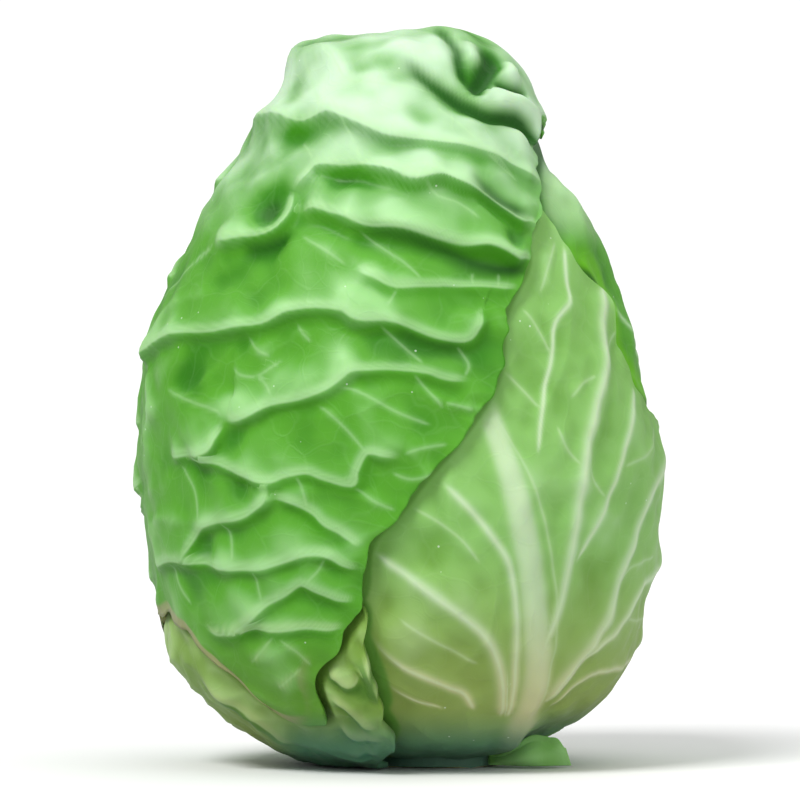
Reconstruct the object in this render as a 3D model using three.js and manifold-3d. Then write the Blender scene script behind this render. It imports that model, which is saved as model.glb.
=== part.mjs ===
// A cabbage head of the pointed kind: five wrapper leaves and a torn leaf base round a heart on its stem.
// Millimetres, +Z up, front towards -Y, right towards +X. The origin is the centre of the stem's cut face.
import * as THREE from "three";
import { mergeVertices } from "three/addons/utils/BufferGeometryUtils.js";
import Module from "manifold-3d";

// Driving dimensions
const CENTRE = new THREE.Vector3(-9, 0, 90); // every surface is a distance from this point
const STEM_RADIUS = 19;
const STEM_TAPER = 1.5; // the stem widens by this much where it enters the heart
const STEM_HEIGHT = 24;
const STEM_SIDES = 36;
const STEM_LOW_SIDES = [3, 15, 23, 31]; // the cut's flat spot reaches the rim at these corners
const STEM_CUT_RISE = 0.4; // the rest of its rim is this much higher
const STEM_CLEARANCE = 0.5; // between the stem and the edge of a leaf
const FLOOR_CLEARANCE = 0.6; // the leaves end this far above the cut face
const LEAF_GAP = 0.6; // between one leaf and the next
const HEART_GAP = 1.8; // between the leaves and the heart
const HEART_TOP_GAP = 5; // more at the top, under the folded leaf
const TOP_TUCK = 2.5; // the other leaves lie this much deeper there
const RECESS_DEPTH = 4; // the hollow above the torn leaf base
const RECESS_ANGLE = 9;
const COVER_SPREAD = 3; // a leaf presses those under it this far past its own margin
const COVER_FADE = 25; // and they rise again over this distance
const HIDE_START = 5; // relief is flattened under a leaf and this far past its margin
const HIDE_END = 14; // and full from this far past it
const MEAN_RADIUS = 75; // turns an angle at the centre into a distance on the surface
const BASE_THICKNESS = 0.8; // a leaf's thickness where it is flattened just above the cut face
const RAYS = 480; // steps round a leaf's margin
const RELIEF_SCALE = 0.75; // of what the ribs and folds add up to
const RELIEF_BLEND = 0.35; // how much those that meet add to the highest one
const CREST_ROUND = 1; // radius of a ridge's crest
const CREST_BLEND = 1.5; // how wide its change from one side's slope to the other's is
const EDGE_START = 0.75; // the ripple begins at this share of the way to the margin
const EDGE_WAVES = 23; // round a leaf
const EDGE_BEATS = 5;

// Outlines of the head: angle from the top in degrees, distance from the centre
const LEFT_PROFILE = [
  [0, 107], [8, 107.4], [13.6, 108.5], [16.2, 107.2], [17.6, 103.2], [18.8, 98.4], [20.4, 95.2],
  [22.4, 93.4], [25.6, 91.8], [29, 87.2], [33.5, 83.4], [38, 81.8], [43.5, 78.8], [50, 75.4], [60, 73.2],
  [75, 70.9], [90, 70.3], [105, 72.2], [120, 77.4], [132, 84], [142, 88], [152, 90], [163, 91], [172, 90],
  [180, 89],
];
const RIGHT_PROFILE = [
  [0, 107], [8, 108], [14.5, 106], [18, 102.5], [22, 95.5], [26, 89.5], [30, 83.5], [35, 79.2], [41, 76.6],
  [48, 73], [55, 69.8], [62, 68], [70, 66.6], [79, 67], [90, 68.8], [98, 71.2], [106, 72.8], [114, 75.2],
  [123, 79.2], [132, 84.6], [140, 88.8], [148, 91.2], [158, 92.4], [168, 91.2], [180, 89],
];
const FRONT_PROFILE = [
  [0, 107], [8, 107], [13.5, 107.2], [17, 105.2], [20, 101.2], [24, 96.6], [28, 93], [32, 90], [40, 84.5],
  [50, 78.6], [60, 74.4], [75, 70.8], [90, 70.2], [105, 72.2], [120, 77.6], [132, 84.2], [142, 89],
  [152, 91.6], [163, 91.8], [172, 90.4], [180, 89],
];

const RAD = Math.PI / 180;

function smoothstep(x, low, high) {
  const t = Math.min(1, Math.max(0, (x - low) / (high - low)));
  return t * t * (3 - 2 * t);
}

// A smooth curve through [angle, distance] pairs that may be unevenly spaced.
function alongProfile(pairs, angle) {
  let i = 0;
  while (i < pairs.length - 2 && pairs[i + 1][0] < angle) i++;
  const slope = (k) => {
    const a = pairs[Math.max(0, k - 1)];
    const b = pairs[Math.min(pairs.length - 1, k + 1)];
    return k === 0 || k === pairs.length - 1 ? 0 : (b[1] - a[1]) / (b[0] - a[0]);
  };
  const [x0, y0] = pairs[i];
  const [x1, y1] = pairs[i + 1];
  const width = x1 - x0;
  const t = (angle - x0) / width;
  const [m0, m1] = [slope(i) * width, slope(i + 1) * width];
  const [t2, t3] = [t * t, t * t * t];
  return y0 * (2 * t3 - 3 * t2 + 1) + m0 * (t3 - 2 * t2 + t) + y1 * (3 * t2 - 2 * t3) + m1 * (t3 - t2);
}

// A direction by azimuth (0 is the front, 90 the right) and elevation, in degrees.
const at = (azimuth, elevation) =>
  new THREE.Vector3(
    Math.sin(azimuth * RAD) * Math.cos(elevation * RAD),
    -Math.cos(azimuth * RAD) * Math.cos(elevation * RAD),
    Math.sin(elevation * RAD),
  );

const RECESS = at(64, -64);

// The head's outer size in a direction from the centre.
function headRadius(d) {
  const angle = Math.acos(THREE.MathUtils.clamp(d.z, -1, 1)) / RAD;
  const plan = d.x * d.x + d.y * d.y;
  const sideways = plan > 1e-12 ? (d.x * d.x) / plan : 1;
  const side = alongProfile(d.x < 0 ? LEFT_PROFILE : RIGHT_PROFILE, angle);
  const round = side * sideways + alongProfile(FRONT_PROFILE, angle) * (1 - sideways);
  const fromRecess = Math.acos(THREE.MathUtils.clamp(d.dot(RECESS), -1, 1)) / RAD / RECESS_ANGLE;
  return round - RECESS_DEPTH * Math.exp(-fromRecess * fromRecess);
}

const surfacePoint = (d, offset = 0) => CENTRE.clone().addScaledVector(d, headRadius(d) + offset);

// The direction of a place on the head as the front view shows it.
function front(x, z) {
  const [dx, dz] = [x - CENTRE.x, z - CENTRE.z];
  let y = -50;
  for (let i = 0; i < 40; i++) {
    const radius = headRadius(new THREE.Vector3(dx, y, dz).normalize());
    y = (y - Math.sqrt(Math.max(1, radius * radius - dx * dx - dz * dz))) / 2;
  }
  return new THREE.Vector3(dx, y, dz).normalize();
}

const frontLine = (points) => points.map(([x, z]) => front(x, z));
const atLine = (points) => points.map(([azimuth, elevation]) => at(azimuth, elevation));

// Catmull-Rom through points with x, y and z, open or closed, with some steps a span.
function smoothLine(points, steps, closed) {
  const n = points.length;
  const pick = (i) => points[closed ? (i + n) % n : THREE.MathUtils.clamp(i, 0, n - 1)];
  const line = [];
  for (let i = 0; i < (closed ? n : n - 1); i++) {
    const [a, b, c, e] = [pick(i - 1), pick(i), pick(i + 1), pick(i + 2)];
    for (let k = 0; k < steps; k++) {
      const t = k / steps;
      const along = (axis) => {
        const [p, q, r, s] = [a[axis], b[axis], c[axis], e[axis]];
        const [slope, bend, twist] = [r - p, 2 * p - 5 * q + 4 * r - s, 3 * q - p - 3 * r + s];
        return 0.5 * (2 * q + slope * t + bend * t * t + twist * t * t * t);
      };
      line.push(new THREE.Vector3(along("x"), along("y"), along("z")));
    }
  }
  if (!closed) line.push(points[n - 1].clone());
  return line;
}

// A raised rib or fold along a line on the head. It falls off at its own rate on each side: `above` is the
// side to the left of the line as seen from outside, and `below` the right.
class Ridge {
  constructor(directions, height, above, below = above) {
    Object.assign(this, { height, above, below });
    this.points = smoothLine(directions, 4, false).map((d) => surfacePoint(d.normalize()));
  }

  at(point, normal) {
    let best = Infinity;
    let side = 0;
    const toPoint = new THREE.Vector3();
    const segment = new THREE.Vector3();
    for (let i = 0; i < this.points.length - 1; i++) {
      segment.subVectors(this.points[i + 1], this.points[i]);
      toPoint.subVectors(point, this.points[i]);
      const t = THREE.MathUtils.clamp(toPoint.dot(segment) / segment.lengthSq(), 0, 1);
      toPoint.addScaledVector(segment, -t);
      if (toPoint.length() < best) {
        best = toPoint.length();
        side = segment.cross(toPoint).dot(normal) > 0 ? 1 : -1;
      }
    }
    const signed = side * best;
    const width = THREE.MathUtils.lerp(this.below, this.above, 0.5 + 0.5 * Math.tanh(signed / CREST_BLEND));
    return this.height * Math.exp(-(Math.hypot(best, CREST_ROUND) - CREST_ROUND) / width);
  }
}

// A wrapper leaf: a curved sheet laid on the head. Its margin is a closed line round a middle direction.
class Leaf {
  constructor({ name, colour, middle, margin, outer, room, cells, relief, ripple, trimmed = true }) {
    Object.assign(this, { name, colour, outer, room, cells, relief, ripple });
    this.middle = at(...middle);
    this.up = new THREE.Vector3(0, 0, 1).addScaledVector(this.middle, -this.middle.z).normalize();
    this.across = new THREE.Vector3().crossVectors(this.up, this.middle);
    this.rays = this.raysTo(margin, trimmed);
    this.edge = this.rays.map(([turn, reach]) => this.toDirection(turn, reach));
  }

  // The margin as rays from the middle, at equal steps along its length and with growing turns.
  raysTo(margin, trimmed) {
    const onSheet = (turn, reach) => new THREE.Vector3(reach * Math.cos(turn), reach * Math.sin(turn), 0);
    const line = smoothLine(margin.map((d) => onSheet(...this.toSheet(d))).reverse(), 12, true).map((p) => {
      const [turn, reach] = [Math.atan2(p.y, p.x), Math.hypot(p.x, p.y)];
      return onSheet(turn, trimmed ? this.clearOfStem(turn, reach) : reach);
    });
    line.push(line[0]);
    const lengths = [0];
    for (let i = 1; i < line.length; i++) lengths.push(lengths[i - 1] + line[i].distanceTo(line[i - 1]));
    const rays = [];
    for (let k = 0, i = 1; k <= RAYS; k++) {
      const along = (k / RAYS) * lengths[lengths.length - 1];
      while (i < line.length - 1 && lengths[i] < along) i++;
      const p = line[i - 1].clone().lerp(line[i], (along - lengths[i - 1]) / (lengths[i] - lengths[i - 1]));
      const turn = Math.atan2(p.y, p.x);
      const before = k ? rays[k - 1][0] : turn;
      const step = ((turn - before + 3 * Math.PI) % (2 * Math.PI)) - Math.PI;
      rays.push([before + Math.max(step, k ? 1e-6 : 0), p.length()]);
    }
    return rays;
  }

  // The ray at a share of the margin's length.
  ray(share) {
    const along = (((share % 1) + 1) % 1) * RAYS;
    const i = Math.min(RAYS - 1, Math.floor(along));
    const [a, b] = [this.rays[i], this.rays[i + 1]];
    return [THREE.MathUtils.lerp(a[0], b[0], along - i), THREE.MathUtils.lerp(a[1], b[1], along - i)];
  }

  // A direction as a turn and a reach round the leaf's middle, both in radians, and back.
  toSheet(d) {
    const reach = Math.acos(THREE.MathUtils.clamp(d.dot(this.middle), -1, 1));
    return [Math.atan2(d.dot(this.up), d.dot(this.across)), reach];
  }

  toDirection(turn, reach) {
    return this.middle.clone().multiplyScalar(Math.cos(reach))
      .addScaledVector(this.across, Math.sin(reach) * Math.cos(turn))
      .addScaledVector(this.up, Math.sin(reach) * Math.sin(turn));
  }

  clearOfStem(turn, reach) {
    const keep = STEM_RADIUS + STEM_CLEARANCE + STEM_TAPER;
    const steps = 240;
    for (let i = 1; i <= steps; i++) {
      const p = surfacePoint(this.toDirection(turn, (reach * i) / steps));
      if (p.z < CENTRE.z / 2 && Math.hypot(p.x, p.y) < keep) return (reach * (i - 1)) / steps;
    }
    return reach;
  }

  reachAt(turn) {
    const first = this.rays[0][0];
    const wanted = first + ((((turn - first) % (2 * Math.PI)) + 2 * Math.PI) % (2 * Math.PI));
    let [low, high] = [0, RAYS];
    while (high - low > 1) {
      const mid = (low + high) >> 1;
      if (this.rays[mid][0] <= wanted) low = mid;
      else high = mid;
    }
    const [a, b] = [this.rays[low], this.rays[high]];
    return THREE.MathUtils.lerp(a[1], b[1], Math.min(1, (wanted - a[0]) / (b[0] - a[0])));
  }

  // How far a direction lies past the leaf's margin, in mm on the surface. It is negative inside.
  past(d) {
    const [turn, reach] = this.toSheet(d);
    const nearest = this.edge.reduce((most, e) => Math.max(most, e.dot(d)), -1);
    const distance = Math.acos(Math.min(1, nearest)) * MEAN_RADIUS;
    return reach > this.reachAt(turn) ? distance : -distance;
  }

  // Where the leaf lies under others, it is pressed in by their room, and its relief is flattened.
  level(d) {
    const tuck = this.outer.length ? TOP_TUCK * smoothstep(d.z, 0.8, 0.95) : 0;
    return pressedBy(this.outer, d) - tuck;
  }

  shown(d) {
    return this.outer.reduce((s, leaf) => s * smoothstep(leaf.past(d), HIDE_START, HIDE_END), 1);
  }

  surfaces(d, share, turn) {
    const base = surfacePoint(d);
    const heights = this.relief.map((ridge) => ridge.at(base, d));
    const total = heights.reduce((sum, h) => sum + h, 0);
    const relief = RELIEF_SCALE * (Math.max(...heights) + RELIEF_BLEND * total);
    const wave = 1 + Math.sin(turn * EDGE_WAVES + 2 * Math.sin(turn * EDGE_BEATS));
    const edge = smoothstep(share, EDGE_START, 1) * this.ripple * wave;
    const top = headRadius(d) + this.level(d);
    const outside = top + (relief + edge) * this.shown(d);
    const inside = top - (this.room - LEAF_GAP);
    const lowest = (CENTRE.z - FLOOR_CLEARANCE) / Math.max(1e-6, -d.z);
    if (d.z >= 0) return [outside, inside];
    return [Math.min(outside, lowest), Math.min(inside, lowest - BASE_THICKNESS)];
  }

  // The grid's square is mapped to a disc and stretched to the margin.
  mesh() {
    return gridMesh(this.name, this.colour, this.cells, this.cells, (across, along) => {
      const [s, t] = [2 * across - 1, 2 * along - 1];
      const [u, v] = [s * Math.sqrt(1 - (t * t) / 2), t * Math.sqrt(1 - (s * s) / 2)];
      const share = Math.min(1, Math.hypot(u, v));
      const [turn, reach] = this.ray(Math.atan2(v, u) / (2 * Math.PI));
      const d = this.toDirection(turn, share * reach);
      return this.surfaces(d, share, turn).map((r) => CENTRE.clone().addScaledVector(d, r));
    });
  }
}

function pressedBy(leaves, d) {
  return leaves.reduce((sum, leaf) =>
    sum - leaf.room * (1 - smoothstep(leaf.past(d), COVER_SPREAD, COVER_SPREAD + COVER_FADE)), 0);
}

// A blade: two faces over one grid, split into triangles alike, and a rim between them. `facesAt` gives the
// outer and the inner point for two shares from 0 to 1.
function gridMesh(name, colour, columns, rows, facesAt) {
  const faces = [[], []];
  for (let j = 0; j <= rows; j++)
    for (let i = 0; i <= columns; i++)
      facesAt(i / columns, j / rows).forEach((point, k) => faces[k].push(point));
  const inner = faces[0].length;
  const id = (i, j) => j * (columns + 1) + i;
  const triangles = [];
  for (let j = 0; j < rows; j++)
    for (let i = 0; i < columns; i++) {
      const [a, b, c, e] = [id(i, j), id(i + 1, j), id(i + 1, j + 1), id(i, j + 1)];
      const split = (i < columns / 2) === (j < rows / 2) ? [[a, b, c], [a, c, e]] : [[a, b, e], [b, c, e]];
      for (const [p, q, r] of split) triangles.push([p, q, r], [p + inner, r + inner, q + inner]);
    }
  const rim = [];
  for (let i = 0; i < columns; i++) rim.push([id(i, 0), id(i + 1, 0)], [id(i + 1, rows), id(i, rows)]);
  for (let j = 0; j < rows; j++) rim.push([id(columns, j), id(columns, j + 1)], [id(0, j + 1), id(0, j)]);
  for (const [p, q] of rim) triangles.push([p, p + inner, q + inner], [p, q + inner, q]);
  return asMesh(name, colour, [...faces[0], ...faces[1]], triangles);
}

function asMesh(name, colour, vertices, triangles) {
  const geometry = new THREE.BufferGeometry().setFromPoints(vertices);
  geometry.setIndex(triangles.flat());
  geometry.computeVertexNormals();
  const material = new THREE.MeshStandardMaterial({ color: colour, roughness: 0.45, metalness: 0 });
  const mesh = new THREE.Mesh(geometry, material);
  mesh.name = name;
  return mesh;
}

const FEATHER_SPREAD = 0.95; // how far a side rib of the hidden leaves runs outwards, in radians
const FEATHER_RISE = 0.25; // and upwards at first
const FEATHER_BEND = 0.65; // and more towards its end

// The midrib and the side ribs of a leaf whose own rib pattern nobody sees from the front.
function featherRibs(middle, base, tip, pairs) {
  const guide = new Leaf({ middle, margin: [at(0, 0), at(90, 0), at(180, 0)], outer: [], trimmed: false });
  const spine = (t) => guide.toDirection(Math.PI / 2, THREE.MathUtils.lerp(-base, tip, t) * RAD);
  const ribs = [new Ridge([0, 0.25, 0.5, 0.75, 1].map(spine), 2.2, 3)];
  for (let k = 0; k < pairs; k++)
    for (const side of [-1, 1]) {
      const root = 0.1 + (0.75 * k) / pairs;
      const [turn, reach] = guide.toSheet(spine(root));
      const start = new THREE.Vector2(reach * Math.cos(turn), reach * Math.sin(turn));
      const line = [0, 0.33, 0.66, 1].map((t) => {
        const rise = FEATHER_BEND * t * t + FEATHER_RISE * t;
        const p = new THREE.Vector2(start.x + side * t * FEATHER_SPREAD, start.y + rise);
        return guide.toDirection(p.angle(), p.length());
      });
      ribs.push(new Ridge(line, 1.1, 3.4));
    }
  return ribs;
}

// Outer left leaf: it wraps the left side and the top, and its folds run from the left up and across
const leftLeafFolds = [
  [[[-48, 174], [-35, 173.6], [-24, 173.5], [-13.5, 170], [-1, 167.7], [11, 165.3], [22, 161]], 1.8, 8, 2.6],
  [[[-38, 154], [-31, 161], [-17, 161], [-5, 157], [6.5, 155.5], [13.5, 153.4], [25, 145]], 2.2, 7, 2.6],
  [[[-36, 149], [-25.6, 149], [-11, 146], [6, 141.5], [19.4, 138.5], [25, 136]], 2.4, 7, 2.6],
  [[[-57, 140], [-43.7, 144], [-38.3, 149], [-37.5, 155]], 2.2, 5, 2.6],
  [
    [[-77, 108.5], [-67.5, 117.4], [-45, 120.7], [-30.5, 124.5], [-20, 121.5], [-7, 120.4], [7.3, 116.6]],
    2.3, 8, 3,
  ],
  [[[-54.5, 95.3], [-43, 100], [-29.7, 103.4], [-22, 108.3], [-9.5, 108.8], [9, 105]], 2.2, 7, 3],
  [[[-71.6, 84.8], [-59, 88], [-54.5, 94.5]], 2, 6, 3],
  [[[-58, 84.8], [-44, 79.7], [-33.5, 82], [-22, 78.8], [-9.5, 70.2]], 1.6, 6, 3],
  [[[-67, 58.6], [-58, 69], [-47, 73.2], [-38, 74.5], [-29, 69], [-18.6, 61.8]], 2, 6, 3],
  [[[-75, 54.8], [-64, 57.8], [-48, 57.2], [-34.6, 61.3], [-29, 61.3], [-20.5, 56]], 2, 6, 3],
  [[[-61, 39.2], [-51, 41.6], [-40, 50], [-35, 52.7], [-21, 47.3]], 1.8, 5, 3],
  [[[-66, 41.6], [-54.5, 30.8], [-43.5, 19.7], [-35, 14.5]], 1.4, 3, 2],
];
const leftLeafPleats = [
  [[[-10, 191.5], [-1, 187], [8.6, 180.7], [20.8, 175.5], [27, 171]], 3.4, 7, 1.6],
  [[[-0.8, 196.8], [6, 192], [11, 185]], 1.6, 4, 1.6],
  [[[15.4, 188.4], [19, 185], [23.2, 182.4]], 1.8, 3, 2],
];
const leftLeafBackFolds = [
  [[-150, -20], [-125, -8], [-100, 0], [-85, -3]],
  [[-150, 5], [-125, 18], [-105, 24], [-88, 20]],
  [[-155, 30], [-130, 42], [-110, 44]],
  [[-145, -45], [-120, -34], [-100, -28]],
];
const leftLeaf = new Leaf({
  name: "outer_leaf_left",
  colour: 0x6fbf4f,
  middle: [-75, 8],
  margin: [
    ...frontLine([
      [28.4, 156], [26.5, 144], [25.6, 135.5], [19, 124], [17, 107], [7.6, 91.5], [-7, 74], [-17.8, 61],
      [-19.5, 48], [-25, 36.5], [-31.6, 25], [-29.5, 14.5],
    ]),
    ...atLine([
      [-36, -58], [-44, -52], [-52, -45], [-62, -37], [-79, -39], [-93, -49], [-104, -58], [-118, -67],
      [-136, -69], [-152, -67], [-162, -56], [-160, -38], [-162, -18], [-165, 0], [-168, 20], [-175, 40],
      [170, 56], [140, 66], [105, 64],
    ]),
  ],
  outer: [],
  room: 2.4,
  cells: 44,
  ripple: 0.25,
  relief: [
    ...leftLeafFolds.map(([line, ...sizes]) => new Ridge(frontLine(line), ...sizes)),
    ...leftLeafPleats.map(([line, ...sizes]) => new Ridge(frontLine(line), ...sizes)),
    ...leftLeafBackFolds.map((line) => new Ridge(atLine(line), 1.8, 6, 3)),
  ],
});

// Lower left leaf: it shows below the first one, and its margin is crumpled where it ends at the front
const lowerLeafFolds = [
  [[[-31, 28], [-26, 26.5], [-20.5, 29]], 1.6, 2, 2],
  [[[-30, 22], [-22, 20], [-15, 16]], 1.5, 2.5, 2],
  [[[-21, 27], [-17, 22], [-14.5, 16]], 1.3, 2, 2],
  [[[-28, 10], [-20, 12], [-14, 14]], 1.4, 2.5, 2],
  [[[-62, 26], [-50, 15], [-36, 8]], 1.6, 6, 6],
];
const lowerLeaf = new Leaf({
  name: "lower_leaf_left",
  colour: 0x9fbf6a,
  middle: [-62, -42],
  margin: [
    ...frontLine([[-23, 46], [-19, 34], [-15.5, 26], [-13.5, 18.5], [-14, 14.5], [-11.5, 9]]),
    ...atLine([
      [-12, -72], [-10, -84], [-80, -85], [-140, -80], [-132, -62], [-126, -42], [-118, -25], [-95, -14],
      [-66, -14], [-40, -20],
    ]),
  ],
  outer: [leftLeaf],
  room: 2.2,
  cells: 16,
  ripple: 0.5,
  relief: lowerLeafFolds.map(([line, ...sizes]) => new Ridge(frontLine(line), ...sizes)),
});

// Front right leaf: a thick midrib from the stem, with side ribs that fan out from it
const frontRibs = [
  [
    [[14.6, 103], [18.6, 87.5], [23, 71.3], [26.2, 55], [27.8, 38.9], [27, 28], [23.5, 15], [19.4, 7]],
    2.4, 3.6,
  ],
  [[[2.4, 77.8], [9.5, 70.7], [15.4, 63.2], [19.5, 53], [21, 39.7], [19.5, 24]], 0.9, 2],
  [[[-17, 58.6], [-2.2, 49.7], [6.5, 44], [14, 36.7], [17.6, 25]], 1.1, 2.2],
  [[[-19.2, 35.6], [-10, 29.4], [2.4, 24], [10.3, 18.4]], 1.2, 2.2],
  [[[41.9, 132.8], [44, 125], [44.6, 109], [41.9, 91], [37, 74.8], [33.5, 53.7], [29.7, 28]], 1.2, 2.2],
  [[[52.7, 106.4], [50.5, 86.7], [41.6, 66], [33.8, 52.6]], 1, 2],
  [[[61, 83], [52.7, 65.6], [47, 48.6], [40, 34], [30.5, 20.5]], 1.1, 2],
  [[[58.6, 54.3], [51.6, 45.6], [40, 32.7], [29.4, 20]], 1, 2],
  [[[34.3, 141], [35.6, 125.5], [31, 111.5], [27.5, 88]], 0.7, 2],
];
const frontLeaf = new Leaf({
  name: "outer_leaf_front_right",
  colour: 0xa9d48c,
  middle: [34, -8],
  margin: [
    ...frontLine([
      [24, 158], [31, 150.5], [36.5, 139.5], [40, 134], [46, 127.5], [49, 115], [52.5, 106], [56, 99],
    ]),
    ...atLine([
      [97, -2], [102, -12], [101, -24], [100, -36], [94, -48], [86, -58], [76, -68], [60, -78], [10, -84],
      [-30, -78], [-24, -68],
    ]),
    ...frontLine([[-24, 12], [-31, 32], [-36, 55], [-35, 85], [-27, 115], [-14, 140], [4, 155]]),
  ],
  outer: [leftLeaf, lowerLeaf],
  room: 2.2,
  cells: 26,
  ripple: 0.35,
  relief: frontRibs.map(([line, ...sizes]) => new Ridge(frontLine(line), ...sizes)),
});

// Right leaf and back leaf close the head behind
const rightLeaf = new Leaf({
  name: "outer_leaf_right",
  colour: 0x86c765,
  middle: [105, 5],
  margin: atLine([
    [26, 48], [42, 64], [80, 76], [130, 74], [156, 58], [160, 34], [160, 12], [156, -12], [150, -34],
    [142, -56], [128, -74], [96, -76], [78, -62], [66, -44], [56, -20], [50, 5], [36, 30],
  ]),
  outer: [leftLeaf, lowerLeaf, frontLeaf],
  room: 2.2,
  cells: 18,
  ripple: 0.3,
  relief: featherRibs([105, 5], 74, 45, 4),
});
const backLeaf = new Leaf({
  name: "outer_leaf_back",
  colour: 0x93cc70,
  middle: [178, -4],
  margin: atLine([
    [138, 62], [165, 70], [-165, 68], [-144, 54], [-132, 26], [-128, 0], [-132, -28], [-140, -54],
    [-155, -76], [165, -77], [140, -62], [128, -36], [122, -8], [126, 20], [134, 40],
  ]),
  outer: [leftLeaf, lowerLeaf, frontLeaf, rightLeaf],
  room: 2.2,
  cells: 18,
  ripple: 0.3,
  relief: featherRibs([178, -4], 72, 45, 4),
});

// Torn leaf base: what is left of an older leaf, a short scoop from the stem to the bottom right
const STUB_ROOT = new THREE.Vector3(14.4, -16.2, 0.8);
const STUB_TIP = new THREE.Vector3(35, -17, 0.7);
const STUB_HEIGHTS = [2.2, 8.6]; // at the root and at the tip
const STUB_BULGE = 5; // how far its middle stands out to the front
const STUB_LEAN = 1.5; // its foot leans out at the tip, and its top leans in at the root
const STUB_NOTCH = 0.12; // depth of the waves in its torn edge, as a share of its height
const STUB_THICKNESS = 1.2;
const STUB_COLUMNS = 10;
const STUB_ROWS = 6;

function stubMesh() {
  const onStub = (along, up) => {
    const round = 0.4 + 0.6 * Math.sin(Math.PI * Math.min(1, 0.2 + up));
    const bulge = STUB_BULGE * Math.sin(Math.PI * along) * round;
    const torn = 1 - STUB_NOTCH * Math.sin(3 * Math.PI * along);
    const height = THREE.MathUtils.lerp(...STUB_HEIGHTS, smoothstep(along, 0, 0.8)) * torn;
    const [outwards, inwards] = [STUB_LEAN * along * (1 - up), STUB_LEAN * up * (1 - along)];
    const off = new THREE.Vector3(outwards, inwards - bulge, up * height);
    return STUB_ROOT.clone().lerp(STUB_TIP, along).add(off);
  };
  return gridMesh("leaf_stub", 0x7db356, STUB_COLUMNS, STUB_ROWS, (along, up) => {
    const outside = onStub(along, up);
    const inwards = new THREE.Vector3(-0.35, 1, 0.35 * (1 - up)).setLength(STUB_THICKNESS);
    return [outside, outside.clone().add(inwards)];
  });
}

// Heart and stem: the packed inner leaves, furrowed between the bases of the outer ones, on the cut stem
const HEART_RINGS = 18;
const HEART_SIDES = 30;
const HEART_FURROWS = 5;
const FURROW_DEPTH = 0.8;
const leaves = [leftLeaf, lowerLeaf, frontLeaf, rightLeaf, backLeaf];

function heartMesh() {
  const vertices = [];
  const triangles = [];
  const radiusAt = (d, azimuth) => {
    const furrow = FURROW_DEPTH * Math.cos(HEART_FURROWS * azimuth * RAD) * smoothstep(-d.z, 0.3, 0.9);
    const gap = HEART_GAP + HEART_TOP_GAP * smoothstep(d.z, 0.6, 0.9);
    return headRadius(d) + pressedBy(leaves, d) - gap - Math.abs(furrow);
  };
  const place = (azimuth, elevation) => {
    const d = at(azimuth, elevation);
    vertices.push(CENTRE.clone().addScaledVector(d, radiusAt(d, azimuth)));
  };
  place(0, 90);
  for (let j = 1; j < HEART_RINGS; j++)
    for (let i = 0; i < HEART_SIDES; i++) place((360 * i) / HEART_SIDES, 90 - (180 * j) / HEART_RINGS);
  place(0, -90);
  const last = vertices.length - 1;
  const id = (j, i) => 1 + (j - 1) * HEART_SIDES + (i % HEART_SIDES);
  for (let i = 0; i < HEART_SIDES; i++) {
    triangles.push([0, id(1, i), id(1, i + 1)], [last, id(HEART_RINGS - 1, i + 1), id(HEART_RINGS - 1, i)]);
    for (let j = 1; j < HEART_RINGS - 1; j++) {
      const [a, b, c, e] = [id(j, i), id(j + 1, i), id(j + 1, i + 1), id(j, i + 1)];
      triangles.push([a, b, c], [a, c, e]);
    }
  }
  return asMesh("heart", 0xc6d99a, vertices, triangles);
}

const wasm = await Module();
wasm.setup();

function stemSolid() {
  const points = [];
  for (let i = 0; i < STEM_SIDES; i++) {
    const side = at((360 * i) / STEM_SIDES, 0);
    const rise = STEM_LOW_SIDES.includes(i) ? 0 : STEM_CUT_RISE;
    const foot = side.clone().multiplyScalar(STEM_RADIUS).setZ(rise);
    const top = side.clone().multiplyScalar(STEM_RADIUS + STEM_TAPER).setZ(STEM_HEIGHT);
    points.push(foot.toArray(), top.toArray());
  }
  return wasm.Manifold.hull(points);
}

function asSolid(geometry) {
  const bare = new THREE.BufferGeometry().setAttribute("position", geometry.getAttribute("position"));
  bare.setIndex(geometry.index);
  const merged = mergeVertices(bare, 1e-3);
  const [vertProperties, triVerts] = [merged.attributes.position.array, new Uint32Array(merged.index.array)];
  return new wasm.Manifold(new wasm.Mesh({ numProp: 3, vertProperties, triVerts }));
}

function heartAndStem() {
  const joined = asSolid(heartMesh().geometry).add(stemSolid()).getMesh();
  const geometry = new THREE.BufferGeometry();
  geometry.setAttribute("position", new THREE.BufferAttribute(joined.vertProperties.slice(), joined.numProp));
  geometry.setIndex([...joined.triVerts]);
  geometry.computeVertexNormals();
  const material = new THREE.MeshStandardMaterial({ color: 0xc6d99a, roughness: 0.55, metalness: 0 });
  const mesh = new THREE.Mesh(geometry, material);
  mesh.name = "heart_and_stem";
  return mesh;
}

const cabbage = new THREE.Group();
cabbage.name = "cabbage_head";
for (const leaf of leaves) cabbage.add(leaf.mesh());
cabbage.add(stubMesh());
cabbage.add(heartAndStem());
export default cabbage;
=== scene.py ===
"""Looks for the cabbage head: finer leaves with folds, ribs and veins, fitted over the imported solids.

The head is a round shape about one centre. Each leaf is a patch of it, with its own margin, relief and veins,
and a leaf lies one layer further in than the leaves that cover it. Lengths are in millimetres up to the mesh,
which is in metres.
"""

import logging
import math
from dataclasses import dataclass, field
from enum import Enum
from typing import ClassVar

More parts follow.
